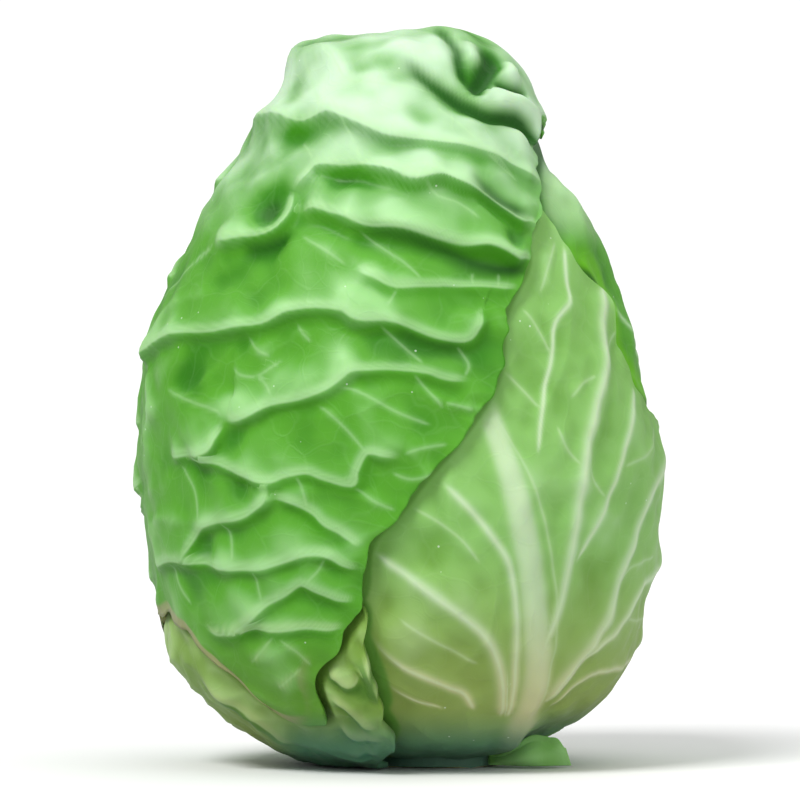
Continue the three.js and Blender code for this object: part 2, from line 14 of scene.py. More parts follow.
import bpy
import numpy as np
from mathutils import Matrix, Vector

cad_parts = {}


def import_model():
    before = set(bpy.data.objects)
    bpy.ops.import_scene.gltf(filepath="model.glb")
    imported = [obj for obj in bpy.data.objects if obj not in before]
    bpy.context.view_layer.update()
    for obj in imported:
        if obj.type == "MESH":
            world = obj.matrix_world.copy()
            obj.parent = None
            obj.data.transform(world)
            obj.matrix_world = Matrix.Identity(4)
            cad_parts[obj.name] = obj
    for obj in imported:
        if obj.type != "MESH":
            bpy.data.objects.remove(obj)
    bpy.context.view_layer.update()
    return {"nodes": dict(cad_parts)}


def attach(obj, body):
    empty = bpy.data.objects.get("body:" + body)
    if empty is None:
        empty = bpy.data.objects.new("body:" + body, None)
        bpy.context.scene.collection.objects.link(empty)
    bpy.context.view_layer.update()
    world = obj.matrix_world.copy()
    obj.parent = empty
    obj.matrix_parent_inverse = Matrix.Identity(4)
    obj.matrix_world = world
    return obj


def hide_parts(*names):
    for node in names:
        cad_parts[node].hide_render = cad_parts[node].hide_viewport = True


log = logging.getLogger("cabbage")

MM = 0.001
SEED = 11

# The photograph's side in pixels, its scale, where the origin lies in it, and the head's centre
PHOTO_PIXELS = 800
PIXEL_MM = 0.27
ORIGIN_PIXEL = (435.3, 764.4)
CENTRE = np.array([-9.0, 0.0, 90.0])
MEAN_RADIUS = 75.0

# How the leaves lie on each other, as in the part's source
STEM_RADIUS = 19.0
STEM_TAPER = 1.5
STEM_CLEARANCE = 0.5
FLOOR_CLEARANCE = 0.6
LEAF_GAP = 0.6
COVER_SPREAD = 3.0
COVER_FADE = 25.0
TOP_TUCK = 2.5
TOP_TUCK_RISE = (0.8, 0.95)
MARGIN_THICKNESS = 0.7

# The recess over the stub: its azimuth and elevation, its depth and how wide an angle it takes
RECESS_AT = (64.0, -64.0)
RECESS_DEPTH = 4.0
RECESS_ANGLE = 9.0

# How far a face may be cut in, low down and high up, and the heights between which that grows under the tip,
# where nothing lies below
DEEPEST_CUT = (1.3, 5.5)
TIP_HEIGHTS = (166.0, 176.0)

# Waves along a margin: size, how far a radian of the wave goes, and of its wandering, in millimetres. Then
# how strongly they wander, and how far from the margin its flare reaches
EDGE_WAVES = [(1.0, 3.6, 17.0), (0.25, 1.5, 7.0)]
EDGE_WANDER = 2.5
FLARE_REACH = 2.5

# Creases: how round a crest is, over what length it comes up at its ends, how wide its thin line is, how
# far off that is read, from what half width of its stripe a rib has none, and how far round a place the mean
# height is taken
CREST_ROUND = 1.7
CREST_ENDS = 7.0
LINE_WIDTH = 0.45
LINE_REACH = 9.0
BROAD_RIB = 3.0
BLUR_RADIUS = 5.0

# The reading of "cover" where no leaf lies over
UNCOVERED = 99.0

# What the finish reads of the mesh
SOFT_MARKS = ("vein", "under", "upper")
FADING_MARKS = (*SOFT_MARKS, "pit", "line_pale", "vein_pale")
LINE_MARKS = ("line_side", "line_far", "vein_side", "vein_far")
MARKS = (*FADING_MARKS, *LINE_MARKS, "height", "crest", "cover", "from_edge", "from_base")

# Outlines of the head: angle from the top in degrees, distance from the centre
LEFT_PROFILE = [
    (0, 107), (8, 107.4), (13.6, 108.5), (16.2, 107.2), (17.6, 103.2), (18.8, 98.4), (20.4, 95.2),
    (22.4, 93.4), (25.6, 91.8), (29, 87.2), (33.5, 83.4), (38, 81.8), (43.5, 78.8), (50, 75.4),
    (60, 73.2), (75, 70.9), (90, 70.3), (105, 72.2), (120, 77.4), (132, 84), (142, 88), (152, 90),
    (163, 91), (172, 90), (180, 89),
]
RIGHT_PROFILE = [
    (0, 107), (8, 108), (14.5, 106), (18, 102.5), (22, 95.5), (26, 89.5), (30, 83.5), (35, 79.2),
    (41, 76.6), (48, 73), (55, 69.8), (62, 68), (70, 66.6), (79, 67), (90, 68.8), (98, 71.2), (106, 72.8),
    (114, 75.2), (123, 79.2), (132, 84.6), (140, 88.8), (148, 91.2), (158, 92.4), (168, 91.2), (180, 89),
]
FRONT_PROFILE = [
    (0, 107), (8, 107), (13.5, 107.2), (17, 105.2), (20, 101.2), (24, 96.6), (28, 93), (32, 90),
    (40, 84.5), (50, 78.6), (60, 74.4), (75, 70.8), (90, 70.2), (105, 72.2), (120, 77.6), (132, 84.2),
    (142, 89), (152, 91.6), (163, 91.8), (172, 90.4), (180, 89),
]


def srgb(code: str) -> tuple[float, float, float, float]:
    """Turns a hex colour as seen on screen into linear light.

    Args:
        code: Six hex digits.

    Returns:
        Red, green, blue and alpha 1.
    """
    channels = (int(code[i : i + 2], 16) / 255 for i in (0, 2, 4))
    return tuple(c / 12.92 if c <= 0.04045 else ((c + 0.055) / 1.055) ** 2.4 for c in channels) + (1.0,)


def smoothstep(x: np.ndarray, low: float, high: float) -> np.ndarray:
    """Rises smoothly from 0 at low to 1 at high.

    Args:
        x: Values.
        low: Where the rise begins.
        high: Where it ends.

    Returns:
        The rise at each value.
    """
    t = np.clip((x - low) / (high - low), 0, 1)
    return t * t * (3 - 2 * t)


def unit(v: np.ndarray) -> np.ndarray:
    """Scales vectors to length 1.

    Args:
        v: Vectors along the last axis.

    Returns:
        The unit vectors.
    """
    return v / np.linalg.norm(v, axis=-1, keepdims=True)


def direction(azimuth: float, elevation: float) -> np.ndarray:
    """Gives a direction from the centre: azimuth 0 is the front and 90 the right.

    Args:
        azimuth: Degrees round the upright axis.
        elevation: Degrees above the level.

    Returns:
        A unit vector.
    """
    a, e = math.radians(azimuth), math.radians(elevation)
    return np.array([math.sin(a) * math.cos(e), -math.cos(a) * math.cos(e), math.sin(e)])


def along_profile(pairs: list[tuple[float, float]], angle: np.ndarray) -> np.ndarray:
    """Reads a smooth curve through unevenly spaced pairs.

    Args:
        pairs: Angle and distance, by growing angle.
        angle: Where to read it, in degrees.

    Returns:
        The distance at each angle.
    """
    x, y = np.array(pairs, dtype=float).T
    slopes = np.zeros_like(y)
    slopes[1:-1] = (y[2:] - y[:-2]) / (x[2:] - x[:-2])
    i = np.clip(np.searchsorted(x, angle, side="right") - 1, 0, len(x) - 2)
    width = x[i + 1] - x[i]
    t = (angle - x[i]) / width
    rise = y[i] * (2 * t**3 - 3 * t**2 + 1) + y[i + 1] * (3 * t**2 - 2 * t**3)
    return rise + width * (slopes[i] * (t**3 - 2 * t**2 + t) + slopes[i + 1] * (t**3 - t**2))


def head_radius(d: np.ndarray) -> np.ndarray:
    """Gives the head's outer size.

    Args:
        d: Unit directions from the centre.

    Returns:
        The distance of the surface along each.
    """
    angle = np.degrees(np.arccos(np.clip(d[..., 2], -1, 1)))
    plan = d[..., 0] ** 2 + d[..., 1] ** 2
    sideways = np.where(plan > 1e-12, d[..., 0] ** 2 / np.maximum(plan, 1e-12), 1.0)
    left, right = along_profile(LEFT_PROFILE, angle), along_profile(RIGHT_PROFILE, angle)
    side = left + (right - left) * (d[..., 0] >= 0)
    round_size = side * sideways + along_profile(FRONT_PROFILE, angle) * (1 - sideways)
    off = np.degrees(np.arccos(np.clip(d @ direction(*RECESS_AT), -1, 1))) / RECESS_ANGLE
    return round_size - RECESS_DEPTH * np.exp(-off * off)


def surface_point(d: np.ndarray) -> np.ndarray:
    """Gives the point of the head's surface.

    Args:
        d: Unit directions from the centre.

    Returns:
        Points in millimetres.
    """
    return CENTRE + d * head_radius(d)[..., None]


def front(points: list[tuple[float, float]]) -> np.ndarray:
    """Finds where places of the front view lie on the head.

    Args:
        points: X and Z in millimetres.

    Returns:
        Unit directions from the centre.
    """
    across, up = (np.array(points, dtype=float) - CENTRE[[0, 2]]).T
    depth = np.full(len(points), -50.0)
    for _ in range(40):
        radius = head_radius(unit(np.stack([across, depth, up], axis=1)))
        depth = (depth - np.sqrt(np.maximum(1, radius**2 - across**2 - up**2))) / 2
    return unit(np.stack([across, depth, up], axis=1))


def seen(pixels: list[tuple[float, float]]) -> np.ndarray:
    """Finds where places of the photograph lie on the head.

    Args:
        pixels: Columns and rows.

    Returns:
        Unit directions from the centre.
    """
    return front([((x - ORIGIN_PIXEL[0]) * PIXEL_MM, (ORIGIN_PIXEL[1] - y) * PIXEL_MM) for x, y in pixels])


def around(points: list[tuple[float, float]]) -> np.ndarray:
    """Turns azimuths and elevations into directions.

    Args:
        points: Pairs in degrees.

    Returns:
        Unit directions from the centre.
    """
    return np.array([direction(*p) for p in points])


def smooth_line(points: np.ndarray, steps: int, closed: bool) -> np.ndarray:
    """Draws a Catmull-Rom curve.

    Args:
        points: What it passes through.
        steps: How many points a span gets.
        closed: Whether it ends where it begins.

    Returns:
        The points of the curve.
    """
    n = len(points)
    spans = np.arange(n if closed else n - 1)
    picks = [(spans + k) % n if closed else np.clip(spans + k, 0, n - 1) for k in (-1, 0, 1, 2)]
    a, b, c, e = (points[p][:, None, :] for p in picks)
    t = (np.arange(steps) / steps)[None, :, None]
    line = 0.5 * (2 * b + (c - a) * t + (2 * a - 5 * b + 4 * c - e) * t**2 + (3 * b - a - 3 * c + e) * t**3)
    line = line.reshape(-1, points.shape[1])
    return line if closed else np.vstack([line, points[-1:]])


class Waves:
    """A smooth random field in space, made of a few plane waves."""

    COUNT = 24

    def __init__(self, wavelength: float, seed: int):
        """Draws the waves.

        Args:
            wavelength: The mean distance from crest to crest, in millimetres.
            seed: For the draw.
        """
        draw = np.random.default_rng(seed)
        self.numbers = unit(draw.normal(size=(self.COUNT, 3))) * 2 * math.pi / wavelength
        self.numbers *= draw.uniform(0.6, 1.5, size=(self.COUNT, 1))
        self.phases = draw.uniform(0, 2 * math.pi, size=self.COUNT)

    def at(self, points: np.ndarray) -> np.ndarray:
        """Reads the field.

        Args:
            points: Places in millimetres.

        Returns:
            Values mostly between -1 and 1.
        """
        return np.cos(points @ self.numbers.T + self.phases).sum(axis=1) / math.sqrt(self.COUNT * 1.2)


@dataclass
class Crease:
    """A rib or fold along a line on the head.

    Args:
        line: Directions from the centre.
        height: How far it stands out, or in where that is negative.
        above: How fast it falls off on the left of the line.
        below: How fast it falls off on the right.
        undercut: The hollow just below it, as a share of its height.
        vein: How pale its crest is.
        vein_width: Half the width of the pale stripe.
        ends: The share of the height at the start and at the end.
        lean: How far the crest leans over to the right of the line, as a share of its height.
        lined: Whether a thin bright line runs along it.
        shade: How far the painted shade below it reaches.
        dark: How strong its painted shade is, where it cuts in.
    """

    line: np.ndarray
    height: float
    above: float
    below: float
    undercut: float = 0.0
    vein: float = 0.0
    vein_width: float = 0.9
    ends: tuple[float, float] = (1.0, 1.0)
    lean: float = 0.0
    lined: bool = True
    shade: float = 1.6
    dark: float = 0.0
    points: np.ndarray = field(init=False)

    def __post_init__(self) -> None:
        """Lays the line on the head."""
        self.points = surface_point(unit(smooth_line(self.line, 5, closed=False)))

    def near(self, points: np.ndarray) -> np.ndarray:
        """Finds the points that the crease can touch.

        Args:
            points: Places in millimetres.

        Returns:
            Their indices.
        """
        reach = max(4.5 * max(self.above, self.below, self.vein_width), LINE_REACH)
        low, high = self.points.min(axis=0) - reach, self.points.max(axis=0) + reach
        return np.flatnonzero(((points > low) & (points < high)).all(axis=1))

    def measure(self, points: np.ndarray, normals: np.ndarray) -> tuple[np.ndarray, ...]:
        """Measures places against the line.

        Args:
            points: Places in millimetres.
            normals: Which way is out at each.

        Returns:
            The distance, positive on the left of the line, the share of its length gone by, and which way its
            right is.
        """
        start, step = self.points[:-1], np.diff(self.points, axis=0)
        lengths = np.linalg.norm(step, axis=1)
        to_point = points[:, None, :] - start
        share = np.clip((to_point * step).sum(axis=2) / lengths**2, 0, 1)
        off = to_point - share[..., None] * step
        far = np.einsum("nsk,nsk->ns", off, off)
        best = far.argmin(axis=1)
        rows = np.arange(len(points))
        gone = np.concatenate([[0], np.cumsum(lengths)])
        rightwards = unit(np.cross(step[best], normals))
        side = np.where((off[rows, best] * rightwards).sum(axis=1) > 0, -1.0, 1.0)
        travelled = (gone[best] + share[rows, best] * lengths[best]) / gone[-1]
        return side * np.sqrt(far[rows, best]), travelled, rightwards

    def shape(self, points: np.ndarray, normals: np.ndarray) -> dict[str, np.ndarray]:
        """Works out what the crease does to places near it.

        Args:
            points: Places in millimetres.
            normals: Which way is out at each.

        Returns:
            The crest's height, the depth of its undercut, how far it leans over, how pale its stripe is, how
            much painted shade it lays where it cuts in, how much painted shade lies below it and painted
            light on its upper side, and for its thin line the distance and how bright it is.
        """
        signed, travelled, rightwards = self.measure(points, normals)
        length = np.linalg.norm(np.diff(self.points, axis=0), axis=1).sum()
        fade = min(0.3, CREST_ENDS / length)
        taper = smoothstep(travelled, -0.02, fade) * smoothstep(1.02 - travelled, 0, fade)
        strength = taper * (self.ends[0] + (self.ends[1] - self.ends[0]) * travelled)
        width = self.below + (self.above - self.below) * (0.5 + 0.5 * np.tanh(signed / CREST_ROUND))
        crest = strength * np.exp(-(np.hypot(signed, CREST_ROUND) - CREST_ROUND) / width)
        stripe = self.vein_width * (0.35 + 0.65 * strength)
        aside = signed - 0.6 * self.vein_width * (self.lean > 0)
        flatness = 4 if self.vein_width > BROAD_RIB else 2
        folded = min(1.0, self.lean * 1.6) * strength
        hollow = np.exp(-(((signed / self.below + 1.9) / 1.2) ** 2))
        past_shade = np.maximum(0, -signed - self.shade)
        uphill = np.maximum(signed, 0)
        return {
            "crest": self.height * crest,
            "hollow": self.undercut * self.height * strength * hollow,
            "lean": rightwards * (self.lean * self.height * crest)[:, None],
            "vein": self.vein * smoothstep(strength, 0, 0.5) * np.exp(-np.abs(aside / stripe) ** flatness),
            "pit": np.minimum(1, 1.8 * self.dark * strength * np.exp(-((signed / width) ** 2))),
            # Painted shade below the fold and painted light on its upper side
            "under": folded * smoothstep(-signed, -0.6, 0.8) * np.exp(-past_shade / 1.5),
            "upper": folded * smoothstep(signed, -1.5, 0.5) * np.exp(-uphill / (0.7 * self.above)),
            "line_side": signed,
            "line_pale": smoothstep(strength, 0.05, 0.6) * self.lined,
        }


@dataclass(frozen=True)
class Dent:
    """A round hollow, or a bulge where the depth is negative.

    Args:
        centre: Its direction from the head's centre.
        radius: How wide it is.
        depth: How deep it is.
    """

    centre: np.ndarray
    radius: float
    depth: float

    def depth_at(self, points: np.ndarray) -> np.ndarray:
        """Reads the dent.

        Args:
            points: Places in millimetres.

        Returns:
            How deep the dent is at each.
        """
        middle = surface_point(self.centre)
        far = ((points - middle) ** 2).sum(axis=1) / self.radius**2
        return self.depth * np.exp(-far)


@dataclass
class Relief:
    """All that shapes and marks one leaf's face.

    Args:
        creases: Folds and ribs that stand out.
        veins: Fine lines, pale and hardly raised.
        furrows: Creases that cut in.
        dents: Hollows and bulges.
        painted_spots: Painted shade in spots, or painted light where the depth is negative.
        swell: Height of the random swelling.
        swell_length: The mean distance between the swellings.
        crumple: Height of the random net of soft ridges.
        crumple_length: The mean distance between them.
        crumple_squash: How much closer they lie up and down than across.
    """

    creases: list[Crease] = field(default_factory=list)
    veins: list[Crease] = field(default_factory=list)
    furrows: list[Crease] = field(default_factory=list)
    dents: list[Dent] = field(default_factory=list)
    painted_spots: list[Dent] = field(default_factory=list)
    swell: float = 0.5
    swell_length: float = 26.0
    crumple: float = 0.0
    crumple_length: float = 30.0
    crumple_squash: float = 2.0

    # The soft ridges' rounding, width and mean, in the waves' own unit
    RIDGE_ROUND: ClassVar[float] = 0.06
    RIDGE_WIDTH: ClassVar[float] = 0.33
    RIDGE_MEAN: ClassVar[float] = 0.45

    def apply(
        self, points: np.ndarray, normals: np.ndarray
    ) -> tuple[np.ndarray, np.ndarray, dict[str, np.ndarray]]:
        """Adds it all up.

        Args:
            points: Places on the smooth head, in millimetres.
            normals: Which way is out at each.

        Returns:
            The height, the sideways shift, and the marks that the finish reads, at each place.
        """
        count = len(points)
        highest, total, cut = np.zeros(count), np.zeros(count), np.zeros(count)
        shift = np.zeros((count, 3))
        marks = {key: np.zeros(count) for key in FADING_MARKS}
        marks |= {key: np.full(count, LINE_REACH) for key in LINE_MARKS}
        for k, crease in enumerate(self.creases + self.veins):
            near = crease.near(points)
            if not len(near):
                continue
            made = crease.shape(points[near], normals[near])
            highest[near] = np.maximum(highest[near], made["crest"])
            total[near] += made["crest"]
            cut[near] -= made["hollow"]
            shift[near] += made["lean"]
            for key in SOFT_MARKS:
                marks[key][near] = np.maximum(marks[key][near], made[key])
            if crease.lined or crease.lean:
                kind = "line" if k < len(self.creases) else "vein"
                nearer = np.abs(made["line_side"]) < marks[f"{kind}_far"][near]
                chosen = near[nearer]
                marks[f"{kind}_far"][chosen] = np.abs(made["line_side"][nearer])
                marks[f"{kind}_side"][chosen] = made["line_side"][nearer]
                marks[f"{kind}_pale"][chosen] = made["line_pale"][nearer]
        for furrow in self.furrows:
            near = furrow.near(points)
            if len(near):
                made = furrow.shape(points[near], normals[near])
                cut[near] -= made["crest"]
                marks["pit"][near] = np.maximum(marks["pit"][near], made["pit"])
        for dent in self.dents:
            cut -= dent.depth_at(points)
        # Painted shade and light in spots, which the finish reads through the crest
        marks["shade"] = sum((shade.depth_at(points) for shade in self.painted_spots), np.zeros(count))
        swelling = self.swell * Waves(self.swell_length, SEED).at(points)
        swelling += 0.5 * self.swell * Waves(self.swell_length / 3, SEED + 1).at(points)
        squashed = points * [1, 1, self.crumple_squash]
        for share, seed in ((1.0, SEED + 2), (0.5, SEED + 3)):
            ridged = np.abs(Waves(self.crumple_length * share, seed).at(squashed))
            ridge = np.exp(-((np.hypot(ridged, self.RIDGE_ROUND) - self.RIDGE_ROUND) / self.RIDGE_WIDTH))
            swelling += self.crumple * share**2 * (ridge - self.RIDGE_MEAN)
        return 0.75 * (highest + 0.35 * total) + cut + swelling, shift, marks


class Layer:
    """The patch of the head that a leaf covers: its middle, its margin and its room."""

    RAYS = 720
    STEPS = 240
    BLOCKS = 12

    def __init__(self, middle: tuple[float, float], margin: np.ndarray, room: float, trimmed: bool = True):
        """Lays the margin out round the middle.

        Args:
            middle: Azimuth and elevation.
            margin: Directions from the centre.
            room: How much of the head's size the leaf takes.
            trimmed: Whether it ends at the stem.
        """
        self.room = room
        self.middle = direction(*middle)
        self.up = unit(np.array([0, 0, 1.0]) - self.middle * self.middle[2])
        self.across = np.cross(self.up, self.middle)
        turn, reach = self.to_sheet(margin)
        flat = np.stack([reach * np.cos(turn), reach * np.sin(turn)], axis=1)[::-1]
        line = smooth_line(flat, 16, closed=True)
        if trimmed:
            line = self.clear_of_stem(line)
        line = np.vstack([line, line[:1]])
        lengths = np.concatenate([[0], np.cumsum(np.linalg.norm(np.diff(line, axis=0), axis=1))])
        marks = np.linspace(0, lengths[-1], self.RAYS + 1)
        x, y = (np.interp(marks, lengths, line[:, k]) for k in (0, 1))
        turns = np.unwrap(np.arctan2(y, x))
        self.turns = np.maximum.accumulate(turns + np.arange(len(turns)) * 1e-7)
        self.reaches = np.hypot(x, y)
        self.length = lengths[-1] * MEAN_RADIUS
        self.edge = self.to_direction(self.turns, self.reaches)

    def to_sheet(self, d: np.ndarray) -> tuple[np.ndarray, np.ndarray]:
        """Places directions on the leaf's own flat sheet.

        Args:
            d: Unit directions from the centre.

        Returns:
            The turn and the reach round the middle, in radians.
        """
        return np.arctan2(d @ self.up, d @ self.across), np.arccos(np.clip(d @ self.middle, -1, 1))

    def to_direction(self, turn: np.ndarray, reach: np.ndarray) -> np.ndarray:
        """Undoes to_sheet.

        Args:
            turn: Radians round the middle.
            reach: Radians from the middle.

        Returns:
            Unit directions from the centre.
        """
        outward = np.cos(turn)[:, None] * self.across + np.sin(turn)[:, None] * self.up
        return np.cos(reach)[:, None] * self.middle + np.sin(reach)[:, None] * outward

    def clear_of_stem(self, line: np.ndarray) -> np.ndarray:
        """Cuts a margin back to the stem's side.

        Args:
            line: The margin on the flat sheet.

        Returns:
            The margin, no nearer to the stem's axis than its side.
        """
        keep = STEM_RADIUS + STEM_CLEARANCE + STEM_TAPER
        turn, reach = np.arctan2(line[:, 1], line[:, 0]), np.hypot(line[:, 0], line[:, 1])
        shares = np.linspace(0, 1, self.STEPS + 1)[1:]
        rays = self.to_direction(np.repeat(turn, self.STEPS), np.outer(reach, shares).ravel())
        p = surface_point(rays).reshape(len(line), self.STEPS, 3)
        blocked = (p[..., 2] < CENTRE[2] / 2) & (np.hypot(p[..., 0], p[..., 1]) < keep)
        first = np.where(blocked.any(axis=1), blocked.argmax(axis=1), self.STEPS)
        return line * (first / self.STEPS)[:, None]

    def ray(self, share: np.ndarray) -> tuple[np.ndarray, np.ndarray]:
        """Reads the margin by the share of its length.

        Args:
            share: From 0 to 1, and round again.

        Returns:
            The turn and the reach.
        """
        marks = np.arange(self.RAYS + 1) / self.RAYS
        return np.interp(share % 1, marks, self.turns), np.interp(share % 1, marks, self.reaches)

    def past(self, d: np.ndarray) -> np.ndarray:
        """Measures how far directions lie past the margin.

        Args:
            d: Unit directions from the centre.

        Returns:
            Millimetres on the surface, negative inside.
        """
        turn, reach = self.to_sheet(d)
        start = self.turns[0]
        wanted = start + (turn - start) % (2 * math.pi)
        inside = reach <= np.interp(wanted, self.turns, self.reaches)
        nearest = np.full(len(d), -1.0)
        for block in np.array_split(self.edge, self.BLOCKS):
            nearest = np.maximum(nearest, (d @ block.T).max(axis=1))
        distance = np.arccos(np.clip(nearest, -1, 1)) * MEAN_RADIUS
        return np.where(inside, -distance, distance)


@dataclass
class MeshData:
    """A mesh before it goes to Blender.

    Args:
        vertices: Places in millimetres.
        faces: Lists of vertex numbers.
        values: Named numbers for each vertex.
    """

    vertices: np.ndarray
    faces: list[list[int]]
    values: dict[str, np.ndarray]

    def to_object(self, name: str) -> bpy.types.Object:
        """Makes the Blender object.

        Args:
            name: Its name.

        Returns:
            The object, linked to the scene.
        """
        mesh = bpy.data.meshes.new(name)
        mesh.from_pydata((self.vertices * MM).tolist(), [], self.faces)
        mesh.update()
        for key, values in self.values.items():
            mesh.attributes.new(key, "FLOAT", "POINT").data.foreach_set("value", values.astype(np.float32))
        mesh.polygons.foreach_set("use_smooth", [True] * len(mesh.polygons))
        thing = bpy.data.objects.new(name, mesh)
        bpy.context.scene.collection.objects.link(thing)
        return thing


def blade_faces(across: int, up: int) -> list[list[int]]:
    """Joins a fine outer grid to an inner grid with half as many cells each way.

    Args:
        across: Cells of the outer grid from side to side, an even number.
        up: Cells from bottom to top, an even number.

    Returns:
        The faces.
    """
    outer = (across + 1) * (up + 1)

    def grid(n: int, m: int, first: int, flipped: bool) -> list[list[int]]:
        """Lists the quads of one grid.

        Args:
            n: Its cells from side to side.
            m: Its cells from bottom to top.
            first: Its first vertex.
            flipped: Whether it faces the other way.

        Returns:
            The quads.
        """
        j, i = np.divmod(np.arange(n * m), n)
        a = first + j * (n + 1) + i
        quads = np.stack([a, a + 1, a + n + 2, a + n + 1], axis=1)
        return (quads[:, ::-1] if flipped else quads).tolist()

    def rim(n: int, m: int, first: int) -> list[int]:
        """Lists the border vertices of one grid, in order.

        Args:
            n: Its cells from side to side.
            m: Its cells from bottom to top.
            first: Its first vertex.

        Returns:
            The vertices.
        """
        k, q = np.arange(n), np.arange(m)
        sides = [k, n + q * (n + 1), (n + 1) * (m + 1) - 1 - k, (m - q) * (n + 1)]
        return (first + np.concatenate(sides)).tolist()

    top, under = rim(across, up, 0), rim(across // 2, up // 2, outer)
    top.append(top[0])
    under.append(under[0])
    border = [
        [top[2 * k], under[k], under[k + 1], top[2 * k + 2], top[2 * k + 1]] for k in range(across + up)
    ]
    return grid(across, up, 0, False) + grid(across // 2, up // 2, outer, True) + border


def blurred(grid: np.ndarray, radii: tuple[int, int]) -> np.ndarray:
    """Blurs a grid of numbers.

    Args:
        grid: Rows and columns.
        radii: Cells to each side, along the rows' axis and the columns'.

    Returns:
        The blurred grid.
    """
    for axis, radius in enumerate(radii):
        kernel = np.hanning(2 * radius + 3)[1:-1]
        padded = np.pad(grid, [(radius, radius) if axis == k else (0, 0) for k in (0, 1)], mode="edge")
        grid = np.apply_along_axis(np.convolve, axis, padded, kernel / kernel.sum(), mode="valid")
    return grid


@dataclass
class Leaf:
    """A wrapper leaf of the head.

    Args:
        name: The CAD node that it replaces.
        layer: The patch that it covers.
        outer: The patches of the leaves over it.
        relief: What shapes its face.
        finish: What it is made of.
        cells: Cells of its outer grid across and up.
        hide: How far past an outer margin its relief begins and is full, in millimetres.
        frill: Size of the waves along its margin.
        flare: How far its margin stands off.
        raised: How far the whole face stands out.
        crowd: How much closer the grid's columns lie on the right.
        rises: Over how many millimetres the leaf comes up from under the margins over it.
    """

    name: str
    layer: Layer
    outer: list[Layer]
    relief: Relief
    finish: "LeafFinish"
    cells: tuple[int, int]
    hide: tuple[float, float] = (0.5, 6.0)
    frill: float = 0.6
    flare: float = 0.3
    raised: float = 0.0
    crowd: float = 0.0
    rises: float = COVER_FADE

    def level(self, d: np.ndarray, pasts: list[np.ndarray]) -> np.ndarray:
        """Works out how far the leaf is pressed in by those over it.

        Args:
            d: Unit directions from the centre.
            pasts: How far past each outer margin they lie.

        Returns:
            Millimetres, zero or negative.
        """
        tuck = TOP_TUCK * smoothstep(d[:, 2], *TOP_TUCK_RISE) if self.outer else np.zeros(len(d))
        for layer, past in zip(self.outer, pasts):
            tuck = tuck + layer.room * (1 - smoothstep(past, COVER_SPREAD, COVER_SPREAD + self.rises))
        return -tuck

    def sheet(self, across: int, up: int) -> tuple[np.ndarray, np.ndarray]:
        """Lays a square grid on a round sheet.

        Args:
            across: Cells from side to side.
            up: Cells from bottom to top.

        Returns:
            How far out each vertex lies and how far round, both from 0 to 1.
        """
        columns = np.linspace(-1, 1, across + 1)
        columns = columns + self.crowd * (1 - columns * columns)
        t, s = (g.ravel() for g in np.meshgrid(np.linspace(-1, 1, up + 1), columns, indexing="ij"))
        u, v = s * np.sqrt(1 - t * t / 2), t * np.sqrt(1 - s * s / 2)
        return np.minimum(1, np.hypot(u, v)), np.arctan2(v, u) / (2 * math.pi) % 1

    def edge_wave(self, along: np.ndarray) -> np.ndarray:
        """Waves the margin.

        Args:
            along: How far round the leaf, from 0 to 1.

        Returns:
            The wave, mostly between -1 and 1.
        """
        gone = along * self.layer.length
        return sum(
            size * np.sin(gone / wave + EDGE_WANDER * np.sin(gone / wander))
            for size, wave, wander in EDGE_WAVES
        )

    def face(self, across: int, up: int, outside: bool) -> tuple[np.ndarray, dict[str, np.ndarray]]:
        """Works out one face of the leaf.

        Args:
            across: Cells of its grid from side to side.
            up: Cells from bottom to top.
            outside: Whether this is the outer face.

        Returns:
            The vertices, and the numbers that the finish reads.
        """
        share, along = self.sheet(across, up)
        turn, reach = self.layer.ray(along)
        wave = self.edge_wave(along)
        near_edge = smoothstep(share, 0.9, 1)
        d = self.layer.to_direction(turn, reach * share + near_edge * wave * self.frill / MEAN_RADIUS)
        pasts = [layer.past(d) for layer in self.outer]
        shown = np.prod([smoothstep(p, *self.hide) for p in pasts], axis=0) if pasts else np.ones(len(d))
        smooth = surface_point(d)
        top = head_radius(d) + self.level(d, pasts)
        height, shift, marks = self.relief.apply(smooth, d)
        limit = DEEPEST_CUT[0] + (DEEPEST_CUT[1] - DEEPEST_CUT[0]) * smoothstep(smooth[:, 2], *TIP_HEIGHTS)
        height = np.where(height < 0, limit * np.tanh(height / limit), height) + self.raised
        size = self.layer.reaches.mean()
        from_edge = (1 - share) * size * MEAN_RADIUS
        lift = shown * (self.flare * np.exp(-from_edge / FLARE_REACH) + 0.5 * self.frill * near_edge * wave)
        thick = self.layer.room - LEAF_GAP
        thick = thick + (MARGIN_THICKNESS - thick) * smoothstep(share, 0.93, 1)
        outer_face = top + height * shown + lift
        radius = outer_face if outside else np.minimum(top, outer_face) - thick
        floor = (CENTRE[2] - FLOOR_CLEARANCE) / np.maximum(1e-6, -d[:, 2])
        radius = np.where(d[:, 2] < 0, np.minimum(radius, floor if outside else floor - 0.5), radius)
        span = 2 * size * MEAN_RADIUS
        radii = tuple(max(2, round(BLUR_RADIUS * 2 * n / span)) for n in (up, across))
        mean = blurred((height * shown).reshape(up + 1, across + 1), radii).ravel()
        values = {key: marks[key] * shown for key in FADING_MARKS} | {key: marks[key] for key in LINE_MARKS}
        values |= {
            "height": height * shown,
            # The crest reading also carries the painted spots of shade and light
            "crest": height * shown - mean - marks["shade"] * shown,
            "cover": np.min(pasts, axis=0) if pasts else np.full(len(d), UNCOVERED),
            "from_edge": from_edge,
            "from_base": np.arccos(np.clip(d @ direction(0, -90), -1, 1)) * MEAN_RADIUS,
        }
        place = CENTRE + d * radius[:, None]
        if outside:
            place = place + shift * (shown * smoothstep(1 - share, 0, 0.03))[:, None]
        return place, values

